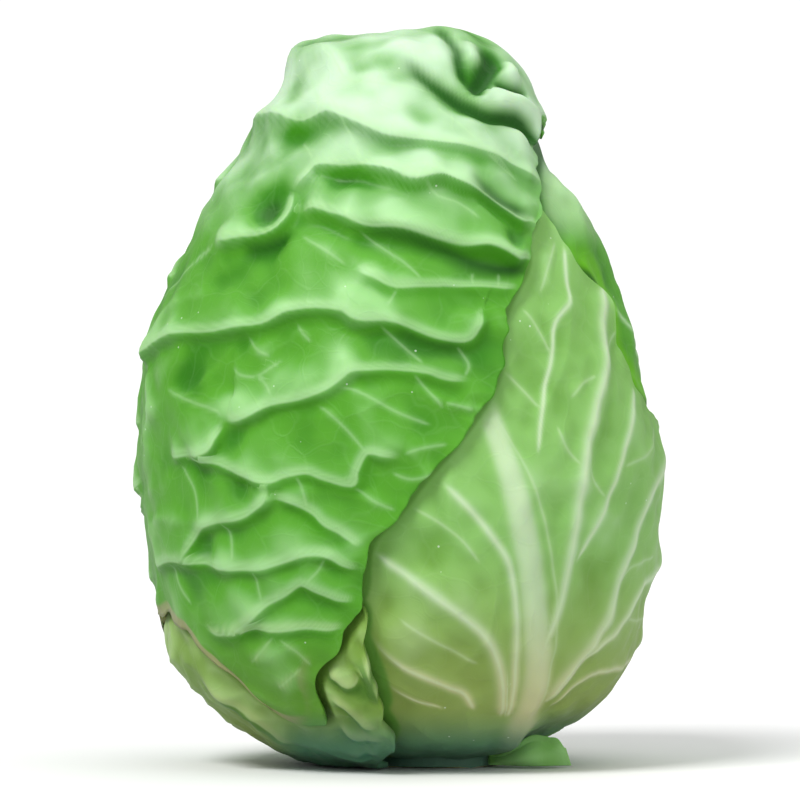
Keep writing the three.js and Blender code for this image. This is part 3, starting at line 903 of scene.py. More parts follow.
    def build(self) -> bpy.types.Object:
        """Makes the leaf.

        Returns:
            The leaf's object.
        """
        across, up = self.cells
        faces = blade_faces(across, up)
        upper, upper_values = self.face(across, up, outside=True)
        lower, lower_values = self.face(across // 2, up // 2, outside=False)
        values = {key: np.concatenate([upper_values[key], lower_values[key]]) for key in MARKS}
        return MeshData(np.vstack([upper, lower]), faces, values).to_object(f"{self.name}_skin")


class Nodes:
    """Adds nodes to a material with their settings and links."""

    def __init__(self, tree: bpy.types.NodeTree):
        """Starts with an empty tree.

        Args:
            tree: The node tree to fill.
        """
        self.tree = tree
        tree.nodes.clear()

    def add(self, kind: str, inputs: dict | None = None, **settings: object) -> bpy.types.Node:
        """Adds a node.

        Args:
            kind: The node's class.
            inputs: Values for its sockets, or the sockets that feed them.
            **settings: The node's own properties.

        Returns:
            The node.
        """
        node = self.tree.nodes.new(kind)
        for key, value in settings.items():
            setattr(node, key, value)
        for key, value in (inputs or {}).items():
            if isinstance(value, bpy.types.NodeSocket):
                self.tree.links.new(value, node.inputs[key])
            else:
                node.inputs[key].default_value = value
        return node

    def share(self, amount: float, *fades: tuple) -> bpy.types.NodeSocket:
        """Multiplies an amount by all that it fades with.

        Args:
            amount: The most that there is.
            *fades: Sockets in tuples, alone or with the readings at which there is none and all of it.

        Returns:
            The product's socket.
        """
        for value, *ends in fades:
            if ends:
                inputs = {"Value": value, "From Min": ends[0], "From Max": ends[1]}
                fade = self.add("ShaderNodeMapRange", inputs, interpolation_type="SMOOTHSTEP")
                value = fade.outputs["Result"]
            amount = self.add("ShaderNodeMath", {0: amount, 1: value}, operation="MULTIPLY").outputs[0]
        return amount

    def lay(
        self,
        ground: bpy.types.NodeSocket | str,
        colour: bpy.types.NodeSocket | str,
        amount: float,
        *fades: tuple,
    ) -> bpy.types.NodeSocket:
        """Lays a colour over another.

        Args:
            ground: The colour below, as hex digits or a socket.
            colour: The colour above, likewise.
            amount: The most that it covers.
            *fades: What that fades with, as for share.

        Returns:
            The resulting colour's socket.
        """
        both = (c if isinstance(c, bpy.types.NodeSocket) else srgb(c) for c in (ground, colour))
        inputs = {0: self.share(amount, *fades)} | dict(zip((6, 7), both))
        return self.add("ShaderNodeMix", inputs, data_type="RGBA").outputs[2]


# Colours that all leaves share: the painted sheen on top, partly for the wax, the dry rim of an old margin,
# the cream of a vein at the foot, the painted teal reflection and shade at the foot, the painted light on a
# leaf's bare shoulder, and the painted glint of a water bead
PAINTED_SHEEN = "DCF7DA"
DRY_RIM = "ACA47A"
VEIN_FOOT = "E2DCAC"
PAINTED_FOOT_REFLECTION = "4E9078"
PAINTED_SHOULDER_LIGHT = "B8E2A4"
PAINTED_GLINT = "F4FFF0"

# How the green follows the lie of the face, as painted light and shade, lighter on crests and darker in
# hollows: the shares of crest and height, and the readings between which it turns deep, deepest and light
LIE_SHARES = {"crest": 0.55, "height": 0.3}
LIE_SHADE = (0.3, -1.1)
LIE_DARKEST_SHADE = (-1.0, -2.6)
LIE_HIGHLIGHT = (0.2, 1.9)

# Where each mark begins and is full: places in metres, all else in millimetres
RIM_EDGE = (6.5, 4.0)
RIM_HEIGHT = (52 * MM, 40 * MM)
RIM_SIDE = (-32 * MM, -40 * MM)
SHEEN_HEIGHT = (138 * MM, 178 * MM)
SHEEN_LIE = (-1.2, 1.6)
SHEEN_FACING = (-0.35, 0.12)
VEIN_FOOT_REACH = (80.0, 45.0)
SHADOW_SIDE = (0.2, -0.9)
SHADOW_FAR = (1.5, 3.0)
LINE_FADE = (1.4 * LINE_WIDTH, 0.2 * LINE_WIDTH)
LINE_CLEAR = (2.2, 1.2)
FOOT_REFLECTION_HEIGHT = (19 * MM, 5 * MM)
FOOT_REFLECTION_SIDE = (-50 * MM, -34 * MM)
FOOT_REFLECTION_REACH = (60.0, 52.0)
GLINT_SIZE = (0.045, 0.025)
SHOULDER_LIGHT_HEIGHT = (138 * MM, 150 * MM)
SHOULDER_LIGHT_NEAR = (4.0, 8.0)
SHOULDER_LIGHT_FAR = (60.0, 30.0)
TUCK_SHADE_HEIGHT = (146 * MM, 132 * MM)

# Sizes of the patterns: patches of green, the skin's grain, the beads' painted glints, and the bending
# and the meshes of the finest veins' net, each mesh with its line's width and its strength. Grain and net
# are coarser than life, so that they show
PATCH_SIZE = 30 * MM
GRAIN_SIZE = 2.2 * MM
GLINT_SPACING = 8 * MM
NET_BEND = 12 * MM
NET_MESHES = [(13 * MM, 0.05, 1.0), (5 * MM, 0.07, 0.4)]


@dataclass(frozen=True)
class LeafFinish:
    """Cabbage leaf: skin with a wax film over thin wet tissue.

    The colour carries painted light and shade: a pale painted sheen on slopes that face up, partly for the
    wax, and painted shade in hollows and below folds, deep yellow-green and not grey, as where light comes
    through the tissue. The veins hold no green, so they stand out pale.

    Args:
        name: The material's name.
        slot: The record's slot; not used.
        light: The pale green of the finest veins' net, and the painted highlight on crests and above folds.
        middle: The green between.
        deep: The painted shade of the hollows.
        vein: The veins' colour.
        deepest: The darkest painted shade: the lowest hollows, creases and pits, and beside the leaf over it.
        tuck_shade: The painted shade beside the leaf that lies over it.
        tuck_shade_reach: How far from that leaf it begins and is full, in millimetres.
        foot: The colour near the stem.
        foot_share: How much of it there is.
        foot_reach: How far from the stem that begins and is full, in millimetres.
        net: How clearly the fine net of veins shows.
        top_sheen: How much painted sheen whitens the top where it faces up, partly for the wax.
        patchy: How much the green varies from place to place.
        shadow: Painted shade just below a fold, deep yellow-green as where light comes through the tissue.
        fold_top_light: How much painted light lies on the upper side of a fold.
        line: How bright the thin lines on crests and veins are.
        margin_shade: How strong the painted shade is right beside the leaf that lies over it.
        margin_shade_reach: How far from that leaf this begins and is full, in millimetres.
    """

    name: str
    slot: str
    light: str
    middle: str
    deep: str
    deepest: str
    vein: str
    tuck_shade: str
    tuck_shade_reach: tuple[float, float]
    foot: str
    foot_share: float
    foot_reach: tuple[float, float]
    net: float
    top_sheen: float
    patchy: float
    shadow: str
    fold_top_light: float
    line: float
    margin_shade: float
    margin_shade_reach: tuple[float, float]

    def vein_net(self, n: Nodes, place: bpy.types.NodeSocket) -> bpy.types.NodeSocket:
        """Draws the net of the finest veins.

        Args:
            n: The material's nodes.
            place: The place on the part.

        Returns:
            How much of the net there is.
        """
        bent = n.add("ShaderNodeTexNoise", {"Vector": place, "Scale": 1 / NET_BEND, "Detail": 1.0})
        centred = {0: bent.outputs["Color"], 1: (0.5, 0.5, 0.5)}
        bend = n.add("ShaderNodeVectorMath", centred, operation="SUBTRACT")
        bend = n.add("ShaderNodeVectorMath", {0: bend.outputs[0], "Scale": NET_BEND}, operation="SCALE")
        where = n.add("ShaderNodeVectorMath", {0: place, 1: bend.outputs[0]}, operation="ADD").outputs[0]
        nets = []
        for size, width, strength in NET_MESHES:
            scaled = {"Vector": where, "Scale": 1 / size}
            mesh = n.add("ShaderNodeTexVoronoi", scaled, feature="DISTANCE_TO_EDGE")
            nets.append(n.share(strength, (mesh.outputs["Distance"], width, 0.0)))
        return n.add("ShaderNodeMath", dict(enumerate(nets)), operation="ADD").outputs[0]

    def colour(
        self, n: Nodes, place: bpy.types.NodeSocket, net: bpy.types.NodeSocket
    ) -> bpy.types.NodeSocket:
        """Lays the leaf's colours over each other, from the tissue to the water on it.

        Args:
            n: The material's nodes.
            place: The place on the part.
            net: How much of the finest veins' net there is.

        Returns:
            The colour.
        """
        mark = {key: n.add("ShaderNodeAttribute", attribute_name=key).outputs["Fac"] for key in MARKS}
        spot = n.add("ShaderNodeSeparateXYZ", {0: place}).outputs
        normal = n.add("ShaderNodeTexCoord").outputs["Normal"]
        facing = n.add("ShaderNodeSeparateXYZ", {0: normal}).outputs["Z"]
        patches = n.add(
            "ShaderNodeTexNoise", {"Vector": place, "Scale": 1 / PATCH_SIZE, "Detail": 3.0, "Roughness": 0.55}
        )
        patchy = {0: patches.outputs["Fac"], 1: self.patchy, 2: -0.5 * self.patchy}
        patch = lie = n.add("ShaderNodeMath", patchy, operation="MULTIPLY_ADD").outputs[0]
        for key, share in LIE_SHARES.items():
            terms = {0: mark[key], 1: share, 2: lie}
            lie = n.add("ShaderNodeMath", terms, operation="MULTIPLY_ADD").outputs[0]
        sheen_lie = n.add("ShaderNodeMath", {0: lie, 1: patch}, operation="ADD").outputs[0]
        vein = n.lay(self.vein, VEIN_FOOT, 1.0, (mark["from_base"], *VEIN_FOOT_REACH))
        below_line = n.share(1.0, (mark["line_side"], *SHADOW_SIDE))
        far_off = n.share(1.0, (mark["line_far"], *SHADOW_FAR))
        crisp = n.add("ShaderNodeMath", {0: below_line, 1: far_off}, operation="MAXIMUM").outputs[0]
        coats = [
            # Painted shade in the hollows, darkest in the lowest, and painted highlight on the crests, by the
            # lie of the face
            (self.deep, 1.0, (lie, *LIE_SHADE)),
            (self.deepest, 1.0, (lie, *LIE_DARKEST_SHADE)),
            (self.light, 1.0, (lie, *LIE_HIGHLIGHT)),
            (self.light, self.net, (net,)),
            (self.foot, self.foot_share, (mark["from_base"], *self.foot_reach)),
            (DRY_RIM, 0.8, (mark["from_edge"], *RIM_EDGE), (spot["Z"], *RIM_HEIGHT), (spot["X"], *RIM_SIDE)),
            # Painted sheen on the top where it faces up, partly for the wax
            (PAINTED_SHEEN, self.top_sheen, (spot["Z"], *SHEEN_HEIGHT), (sheen_lie, *SHEEN_LIE), (facing, *SHEEN_FACING)),
            # Painted light on the upper side of a fold
            (self.light, self.fold_top_light, (mark["upper"],)),
            (vein, 1.0, (mark["vein"],)),
            # Painted shade just below a fold
            (self.shadow, 0.9, (mark["under"],), (crisp,)),
            # Painted shade in creases that cut in
            (self.deepest, 0.95, (mark["pit"],)),
        ]
        for kind, strength in (("line", self.line), ("vein", 0.6 * self.line)):
            off = n.add("ShaderNodeMath", {0: mark[f"{kind}_side"]}, operation="ABSOLUTE").outputs[0]
            clear = (mark[f"{kind}_far"], *LINE_CLEAR)
            coats.append((self.vein, strength, (off, *LINE_FADE), (mark[f"{kind}_pale"],), clear))
        # Painted glints of water beads, in small spots
        cell = n.add("ShaderNodeTexVoronoi", {"Vector": place, "Scale": 1 / GLINT_SPACING}).outputs["Distance"]
        cover = mark["cover"]
        # Painted teal reflection and shade at the foot, low on the head
        low = (spot["Z"], *FOOT_REFLECTION_HEIGHT)
        coats += [
            (PAINTED_FOOT_REFLECTION, 0.8, low, (spot["X"], *FOOT_REFLECTION_SIDE), (mark["from_base"], *FOOT_REFLECTION_REACH)),
            (PAINTED_GLINT, 0.5, (cell, *GLINT_SIZE)),
            # Painted light on a leaf's bare shoulder, high up beside the margin over it
            (PAINTED_SHOULDER_LIGHT, 0.6, (spot["Z"], *SHOULDER_LIGHT_HEIGHT), (cover, *SHOULDER_LIGHT_NEAR), (cover, *SHOULDER_LIGHT_FAR)),
            # Painted shade beside the leaf that lies over it
            (self.tuck_shade, 0.9, (cover, *self.tuck_shade_reach), (spot["Z"], *TUCK_SHADE_HEIGHT)),
            # Painted shade right beside the margin of the leaf over it
            (self.deepest, self.margin_shade, (cover, *self.margin_shade_reach)),
        ]
        laid = self.middle
        for coat in coats:
            laid = n.lay(laid, *coat)
        return laid

    def make(self) -> bpy.types.Material:
        """Makes the material.

        Returns:
            The material.
        """
        material = bpy.data.materials.new(self.name)
        material.use_nodes = True
        n = Nodes(material.node_tree)
        place = n.add("ShaderNodeTexCoord").outputs["Object"]
        net = self.vein_net(n, place)
        speckle = n.add("ShaderNodeTexNoise", {"Vector": place, "Scale": 1 / GRAIN_SIZE, "Detail": 4.0})
        grain = speckle.outputs["Fac"]
        raised = n.share(0.35, (net,))
        bumps = n.add("ShaderNodeMath", {0: grain, 1: 0.3, 2: raised}, operation="MULTIPLY_ADD").outputs[0]
        bump = n.add("ShaderNodeBump", {"Height": bumps, "Strength": 0.3, "Distance": 0.3 * MM})
        rough = n.add("ShaderNodeMath", {0: grain, 1: 0.2, 2: 0.34}, operation="MULTIPLY_ADD")
        skin = n.add(
            "ShaderNodeBsdfPrincipled",
            {
                "Base Color": self.colour(n, place, net),
                "Roughness": rough.outputs[0],
                "IOR": 1.42,
                "Specular IOR Level": 0.32,
                "Subsurface Weight": 0.2,
                "Subsurface Radius": (0.6, 1.0, 0.15),
                "Subsurface Scale": 0.9 * MM,
                "Sheen Weight": 0.03,
                "Sheen Roughness": 0.4,
                "Normal": bump.outputs["Normal"],
            },
        )
        n.add("ShaderNodeOutputMaterial", {"Surface": skin.outputs[0]})
        return material


GREEN_LEAF = LeafFinish(
    name="wrapper_leaf_green",
    slot="green_leaf",
    light="A0DA8A",
    middle="5CAA2C",
    deep="35840E",
    deepest="165802",
    vein="BDE8AC",
    tuck_shade="6CC00C",
    tuck_shade_reach=(16.0, 10.0),
    foot="86AC40",
    foot_share=0.5,
    foot_reach=(80.0, 30.0),
    net=0.06,
    top_sheen=0.8,
    patchy=2.4,
    shadow="429604",
    fold_top_light=0.2,
    line=0.3,
    margin_shade=0.85,
    margin_shade_reach=(6.0, 3.5),
)
PALE_LEAF = LeafFinish(
    name="wrapper_leaf_pale",
    slot="pale_leaf",
    light="BCE6A8",
    middle="8FC86A",
    deep="6CA63E",
    deepest="437F22",
    vein="D6EEC4",
    tuck_shade="72AC44",
    tuck_shade_reach=(2.5, 0.5),
    foot="9CA856",
    foot_share=0.75,
    foot_reach=(95.0, 45.0),
    net=0.04,
    top_sheen=0.3,
    patchy=2.2,
    shadow="6AA03C",
    fold_top_light=0.3,
    line=0.3,
    margin_shade=0.35,
    margin_shade_reach=(2.0, 0.8),
)
YELLOW_LEAF = LeafFinish(
    name="wrapper_leaf_foot",
    slot="yellow_leaf",
    light="B4D888",
    middle="84AC48",
    deep="568A24",
    deepest="2E5E12",
    vein="B8D090",
    tuck_shade="5A7E2A",
    tuck_shade_reach=(3.0, 0.5),
    foot="948F54",
    foot_share=0.5,
    foot_reach=(55.0, 25.0),
    net=0.05,
    top_sheen=0.0,
    patchy=1.6,
    shadow="3C7A10",
    fold_top_light=0.3,
    line=0.4,
    margin_shade=0.2,
    margin_shade_reach=(2.0, 0.8),
)


def dress(thing: bpy.types.Object, finish: LeafFinish, node: str) -> None:
    """Gives a piece its material and puts it in a node's place.

    Args:
        thing: The piece.
        finish: What it is made of.
        node: The CAD node that it replaces.
    """
    thing.data.materials.append(bpy.data.materials.get(finish.name) or finish.make())
    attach(thing, "root")
    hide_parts(node)
    log.info("%s: %d faces", thing.name, len(thing.data.polygons))


# Folds: half the width of the pale stripe, how far the painted shade below reaches, and the lower side's
# least width
FOLD_STRIPE = 1.3
FOLD_SHADE = 2.6
FOLD_BELOW = 2.0


def folds(
    lines: list[tuple],
    undercut: float = 0.3,
    vein: float = 0.45,
    lean: float = 0.7,
    lined: bool = True,
) -> list[Crease]:
    """Makes the folds that the photograph shows.

    Args:
        lines: Pixels, height, widths above and below, and the shares of the height at both ends.
        undercut: The hollow below each.
        vein: How pale the crests are.
        lean: How far the crests lean over.
        lined: Whether thin bright lines run along them.

    Returns:
        The creases.
    """
    return [
        Crease(
            seen(px),
            height,
            above,
            max(FOLD_BELOW, below),
            undercut,
            vein,
            FOLD_STRIPE,
            ends,
            lean,
            lined,
            FOLD_SHADE,
        )
        for px, height, above, below, ends in lines
    ]


def furrows(lines: list[tuple]) -> list[Crease]:
    """Makes the creases that cut in as the photograph shows them, with more painted shade the deeper they
    are.

    Args:
        lines: Pixels, depth, widths above and below, and the shares of the depth at both ends.

    Returns:
        The creases.
    """
    return [
        Crease(seen(px), depth, above, below, ends=ends, dark=min(1.0, depth / 4))
        for px, depth, above, below, ends in lines
    ]


def thin_veins(lines: list[list[tuple[float, float]]]) -> list[Crease]:
    """Makes fine veins, pale and hardly raised.

    Args:
        lines: Pixels of each.

    Returns:
        The creases.
    """
    return [Crease(seen(px), 0.5, 1.6, 1.4, vein=0.2, vein_width=0.8) for px in lines]


def dents(places: list[tuple[float, float, float, float]]) -> list[Dent]:
    """Makes the hollows, bulges and painted spots of shade and light that the photograph shows.

    Args:
        places: Column, row, radius and depth in millimetres.

    Returns:
        The dents.
    """
    return [Dent(seen([(x, y)])[0], radius, depth) for x, y, radius, depth in places]


# Folds of the outer left leaf as the photograph shows them: pixels, height, widths above and below, ends
LEFT_LEAF_FOLDS = [
    ([(256, 120), (281, 118), (304, 121), (331, 117), (347, 121), (385, 134), (432, 143), (476, 152),
      (517, 168), (537, 184)], 2.0, 9, 1.3, (0.7, 0.7)),
    ([(294, 193), (307, 180), (319, 168), (347, 166), (372, 167), (394, 174), (417, 184), (441, 182),
      (459, 188), (485, 196), (512, 214), (530, 227)], 2.6, 8, 1.3, (0.6, 1.1)),
    ([(301, 213), (319, 208), (342, 214), (364, 222), (394, 224), (423, 231), (459, 240), (485, 242),
      (507, 250), (528, 261)], 3.0, 8, 1.2, (0.7, 1.2)),
    ([(355, 268), (373, 274), (398, 282), (428, 279), (459, 280), (503, 284), (517, 288)],
      1.3, 6, 1.6, (0.8, 0.6)),
    ([(223, 246), (246, 239), (273, 231), (284, 224), (291, 213), (294, 200), (296, 190)],
      2.4, 5, 1.4, (0.9, 0.8)),
    ([(150, 360), (165, 340), (185, 329), (223, 324), (269, 317), (294, 307), (322, 303), (347, 306),
      (361, 314), (385, 314), (409, 318), (435, 328), (462, 332), (472, 322), (478, 309)],
      2.5, 8, 1.5, (0.9, 0.8)),
    ([(233, 411), (240, 412), (257, 404), (276, 394), (302, 389), (325, 382), (340, 373), (354, 363),
      (371, 361), (395, 360), (426, 364), (443, 370), (468, 375)], 2.4, 7, 1.5, (0.9, 0.5)),
    ([(170, 450), (190, 445), (216, 438), (223, 428), (233, 414)], 2.2, 6, 1.5, (0.8, 0.9)),
    ([(194, 449), (221, 450), (250, 462), (273, 469), (290, 463), (311, 460), (328, 466), (354, 472),
      (357, 461), (368, 442), (388, 445), (400, 450)], 1.7, 6, 1.5, (0.9, 0.6)),
    ([(187, 547), (204, 518), (219, 509), (247, 503), (261, 494), (271, 485), (273, 473)],
      2.1, 6, 1.5, (0.8, 0.8)),
    ([(273, 487), (294, 488), (316, 499), (328, 509), (345, 518), (366, 535)], 1.3, 5, 1.5, (0.9, 0.8)),
    ([(156, 561), (173, 550), (199, 550), (226, 552), (257, 552), (285, 545), (307, 537), (328, 537),
      (345, 547), (359, 557)], 2.1, 6, 1.5, (0.8, 0.8)),
    ([(208, 618), (226, 620), (246, 610), (267, 591), (288, 579), (305, 568), (322, 575), (348, 586),
      (357, 589)], 1.8, 5, 1.5, (0.6, 0.8)),
    ([(226, 620), (253, 615), (277, 615), (305, 612), (331, 614), (348, 617)], 1.1, 4, 1.5, (0.8, 0.8)),
]
# The lip and the pleats of the folded cap, likewise
LEFT_LEAF_LIP = [
    ([(398, 52), (412, 58), (426, 70), (442, 82), (458, 91), (474, 100), (490, 107), (510, 107),
      (526, 114), (541, 128)], 1.8, 4, 2.0, (0.4, 1.0)),
]
LEFT_LEAF_PLEATS = [
    ([(404, 70), (425, 84), (450, 100), (475, 115), (500, 128), (520, 138), (536, 152)],
      1.2, 2.4, 5, (0.5, 0.8)),
    ([(470, 42), (475, 55), (480, 66)], 1.6, 3, 2.5, (0.8, 0.9)),
    ([(502, 58), (511, 75), (520, 86)], 1.8, 3, 2.5, (0.8, 0.9)),
    ([(448, 36), (458, 44), (466, 60)], 1.0, 2, 2, (0.8, 0.9)),
]
# Furrows: pixels, depth, widths above and below, ends
LEFT_LEAF_FURROWS = [
    ([(399, 58), (423, 74), (455, 96), (483, 113), (501, 117), (516, 120), (529, 132), (540, 148)],
      5.2, 1.5, 2.8, (0.3, 1.2)),
    ([(433, 34), (447, 40), (457, 48), (459, 60), (464, 72), (474, 86)], 2.2, 1.6, 1.6, (0.6, 1.1)),
    ([(489, 48), (490, 61), (482, 74), (476, 86), (485, 99)], 4.6, 2.4, 2.4, (0.9, 1)),
    ([(492, 73), (501, 84), (514, 91), (526, 97)], 3.0, 1.3, 1.3, (1, 0.9)),
    ([(312, 122), (345, 128), (385, 140), (430, 148)], 1.2, 1.5, 4, (0.5, 0.7)),
    ([(462, 180), (482, 190), (504, 203), (529, 217)], 2.2, 1.4, 3, (0.7, 1)),
    ([(356, 223), (416, 235), (449, 246), (474, 259), (499, 264), (526, 262)], 2.4, 1.4, 3, (0.5, 1)),
    ([(246, 248), (266, 245), (287, 239), (297, 228)], 2.2, 1.4, 3, (0.7, 1)),
    ([(393, 320), (416, 332), (441, 338), (470, 338)], 1.8, 1.5, 4, (0.8, 0.8)),
]
# Fine veins: pixels
LEFT_LEAF_VEINS = [
    [(300, 66), (324, 70), (344, 79), (359, 84), (381, 87), (409, 87), (431, 91)],
    [(285, 84), (291, 73), (300, 66)],
    [(309, 74), (317, 92), (325, 116)],
    [(344, 120), (352, 136), (359, 152)],
    [(304, 143), (310, 152), (317, 165)],
    [(357, 150), (362, 158), (366, 164)],
    [(359, 226), (372, 236), (388, 248), (410, 264), (425, 277)],
    [(304, 237), (326, 251), (352, 267)],
    [(398, 284), (393, 294), (388, 303)],
    [(301, 320), (306, 329), (314, 338)],
    [(236, 361), (245, 369), (260, 370), (275, 362), (288, 353)],
    [(260, 370), (270, 376), (278, 388)],
    [(379, 317), (400, 336), (421, 354), (424, 360)],
    [(413, 364), (424, 380), (437, 395), (443, 403)],
    [(337, 380), (350, 382), (366, 388), (400, 406), (434, 419)],
    [(442, 396), (456, 399), (472, 404)],
    [(461, 372), (467, 360), (462, 348), (454, 336)],
    [(318, 396), (332, 406), (348, 421), (360, 434), (368, 444)],
    [(354, 473), (374, 488), (398, 500)],
    [(471, 267), (470, 272), (470, 279)],
    [(497, 268), (496, 275), (495, 283)],
    [(480, 155), (496, 166), (517, 181)],
    [(431, 103), (455, 124), (479, 149), (514, 177)],
    [(279, 620), (267, 637), (253, 655)],
    [(281, 624), (298, 636), (315, 656)],
    [(281, 676), (292, 666), (305, 655)],
    [(200, 262), (211, 254), (222, 247)],
    [(160, 300), (185, 278), (221, 249)],
    [(172, 386), (195, 396), (222, 404), (232, 412)],
    [(182, 456), (198, 480), (206, 512)],
    [(226, 506), (236, 528), (240, 548)],
    [(300, 462), (308, 480), (312, 496)],
    [(330, 540), (322, 556), (310, 566)],
    [(390, 462), (412, 470), (440, 462)],
    [(402, 446), (420, 440), (448, 436)],
    [(258, 553), (262, 572), (266, 588)],
    [(173, 552), (182, 575), (196, 600)],
    [(253, 332), (262, 345), (276, 352)],
    [(420, 184), (436, 200), (456, 206), (478, 222)],
]
# Hollows and bulges: column, row, radius and depth in millimetres
LEFT_LEAF_DENTS = [
    (273, 213, 4.5, 2.0), (345, 178, 5, 1.6), (230, 275, 5, 1.3), (265, 303, 5, 1.2), (240, 430, 5, 1.8),
    (195, 370, 5, 1.5), (512, 235, 3.2, 1.8), (247, 478, 4.5, 1.4), (210, 537, 4.5, 1.3),
    (345, 532, 4.5, 1.4), (257, 622, 4, 1.2), (300, 130, 6, 1.2), (470, 345, 6, 1.3), (380, 340, 5, 1.4),
    (300, 340, 6, 1.2), (303, 92, 7, 0.9), (498, 60, 3, 2.0), (360, 299, 6, -1.0), (240, 402, 5, -0.9),
    (345, 368, 5, -0.8), (228, 240, 4.5, -1.2), (330, 240, 8, -0.8), (440, 300, 7, 0.9),
    (420, 400, 8, 0.8),
]
# Painted shade in spots, or painted light where the last number is negative: column, row, radius and strength
LEFT_LEAF_PAINTED_SPOTS = [
    (303, 92, 6.5, 2.4), (302, 132, 7, 1.0), (326, 138, 7, 1.0), (150, 430, 12, -1.4),
    (154, 520, 12, -1.2), (166, 330, 12, -1.0), (172, 590, 10, -1.2), (272, 136, 6, 1.0),
    (348, 180, 6, 2.0), (274, 210, 6, 2.2), (485, 192, 7, 1.6), (512, 236, 3.5, 2.5), (242, 430, 6, 1.8),
    (245, 342, 9, 0.8), (396, 332, 8, 1.6), (195, 372, 7, 1.2), (300, 262, 9, 1.2), (215, 590, 8, 0.8),
    (205, 540, 6, 1.0), (478, 345, 6, 1.0), (362, 298, 6, -2.4), (392, 208, 5, -1.6), (237, 402, 5, -2.0),
    (345, 368, 5, -1.2), (350, 92, 15, -1.6), (440, 122, 10, -0.8), (246, 236, 5, -1.2),
    (352, 524, 5, -2.2), (215, 512, 4, -1.2), (180, 440, 5, -1.2), (230, 165, 8, -0.8),
    (425, 55, 9, -1.4), (290, 385, 6, -0.8),
]

# Ribs of the front right leaf: pixels, height, width of its sides, half the width of the pale stripe, and the
# shares of these at the start and at the end
FRONT_LEAF_RIBS = [
    ([(466, 345), (484, 392), (500, 440), (514, 500), (526, 560), (532, 620), (534, 650), (528, 690),
      (518, 715), (506, 740)], 2.4, 4.6, 4.8, (0.3, 1.2)),
    ([(440, 472), (470, 502), (492, 530), (505, 552), (511, 584), (513, 617), (511, 660), (504, 705)],
      1.1, 2.4, 1.5, (0.5, 1.0)),
    ([(372, 547), (394, 560), (427, 580), (459, 602), (481, 621), (493, 643), (499, 671), (498, 705)],
      1.5, 2.6, 1.5, (0.8, 1.1)),
    ([(362, 630), (378, 646), (398, 657), (421, 666), (444, 675), (464, 684), (474, 702)],
      1.4, 2.6, 1.3, (0.9, 0.8)),
    ([(536, 640), (552, 600), (560, 565), (566, 530), (573, 487), (577, 465), (583, 432), (590, 400),
      (600, 360), (597, 322), (598, 288)], 1.7, 2.8, 1.9, (0.6, 1.0)),
    ([(568, 556), (578, 536), (594, 506), (608, 474), (618, 443), (625, 410), (628, 385)],
      1.2, 2.4, 1.2, (0.6, 0.9)),
    ([(664, 452), (652, 478), (641, 500), (628, 535), (615, 565), (608, 590), (598, 615), (580, 640),
      (556, 668), (541, 692)], 1.6, 2.6, 1.9, (0.7, 1.1)),
    ([(656, 563), (640, 578), (628, 595), (616, 615), (600, 630), (580, 646), (556, 672), (542, 694)],
      1.4, 2.4, 1.3, (0.8, 1.0)),
    ([(634, 655), (606, 662), (582, 670), (562, 684), (546, 700)], 1.1, 2.4, 1.1, (0.7, 1.0)),
    ([(562, 242), (564, 274), (567, 299), (554, 318), (550, 351), (544, 380), (539, 408), (533, 450)],
      0.9, 2.2, 1.0, (0.8, 0.5)),
    ([(375, 663), (380, 677), (398, 688), (424, 697), (450, 700)], 1.0, 2.0, 0.8, (1.0, 0.5)),
]
FRONT_LEAF_VEINS = [
    [(492, 404), (512, 440), (526, 472), (538, 510), (546, 550), (551, 590), (550, 630), (544, 665),
     (534, 700)],
    [(520, 300), (535, 320), (550, 351)],
    [(500, 360), (520, 380), (540, 405)],
    [(600, 492), (585, 470), (582, 434)],
    [(616, 462), (640, 450), (652, 425)],
    [(408, 498), (432, 510), (460, 530), (480, 556)],
    [(540, 290), (548, 260), (556, 235)],
    [(576, 460), (560, 440), (552, 418)],
    [(611, 572), (630, 560), (650, 552)],
    [(610, 330), (603, 345), (600, 360)],
    [(566, 395), (577, 380), (592, 372)],
    [(620, 610), (634, 616), (644, 612)],
    [(395, 610), (420, 622), (450, 640), (480, 655)],
]
FRONT_LEAF_DENTS = [
    (432, 543, 5.5, 1.4), (398, 628, 7, -1.6), (384, 603, 4.5, 1.2), (468, 580, 7, -0.9),
    (470, 662, 8, 1.0), (586, 578, 6.5, 1.1), (602, 528, 6, -0.9), (548, 445, 8, -0.7),
    (594, 440, 4.5, 0.8), (468, 440, 6, 0.7), (455, 490, 6, -0.8), (575, 330, 6, 0.6),
    (654, 560, 4.5, -2.2), (640, 640, 4.5, -1.8), (648, 600, 4, 1.0), (612, 410, 5, -0.7),
    (530, 370, 7, 0.7), (400, 700, 6, 0.9), (555, 500, 5, 0.7),
]
# Folds of the crumpled margin at the bottom middle and of the leaf's foot
LOWER_LEAF_FOLDS = [
    ([(322, 655), (335, 662), (350, 668), (362, 660)], 2.0, 3, 1.6, (0.8, 0.8)),
    ([(328, 685), (345, 690), (362, 700), (378, 712)], 1.8, 3, 1.6, (0.8, 0.8)),
    ([(362, 640), (372, 655), (378, 672), (384, 690)], 1.6, 2.2, 1.6, (0.8, 0.8)),
    ([(338, 715), (355, 722), (370, 718), (385, 724)], 1.6, 3, 1.6, (0.8, 0.8)),
    ([(350, 742), (366, 736), (382, 738)], 1.2, 3, 1.6, (0.8, 0.8)),
    ([(205, 668), (250, 700), (300, 735)], 1.2, 6, 5, (0.8, 0.8)),
]


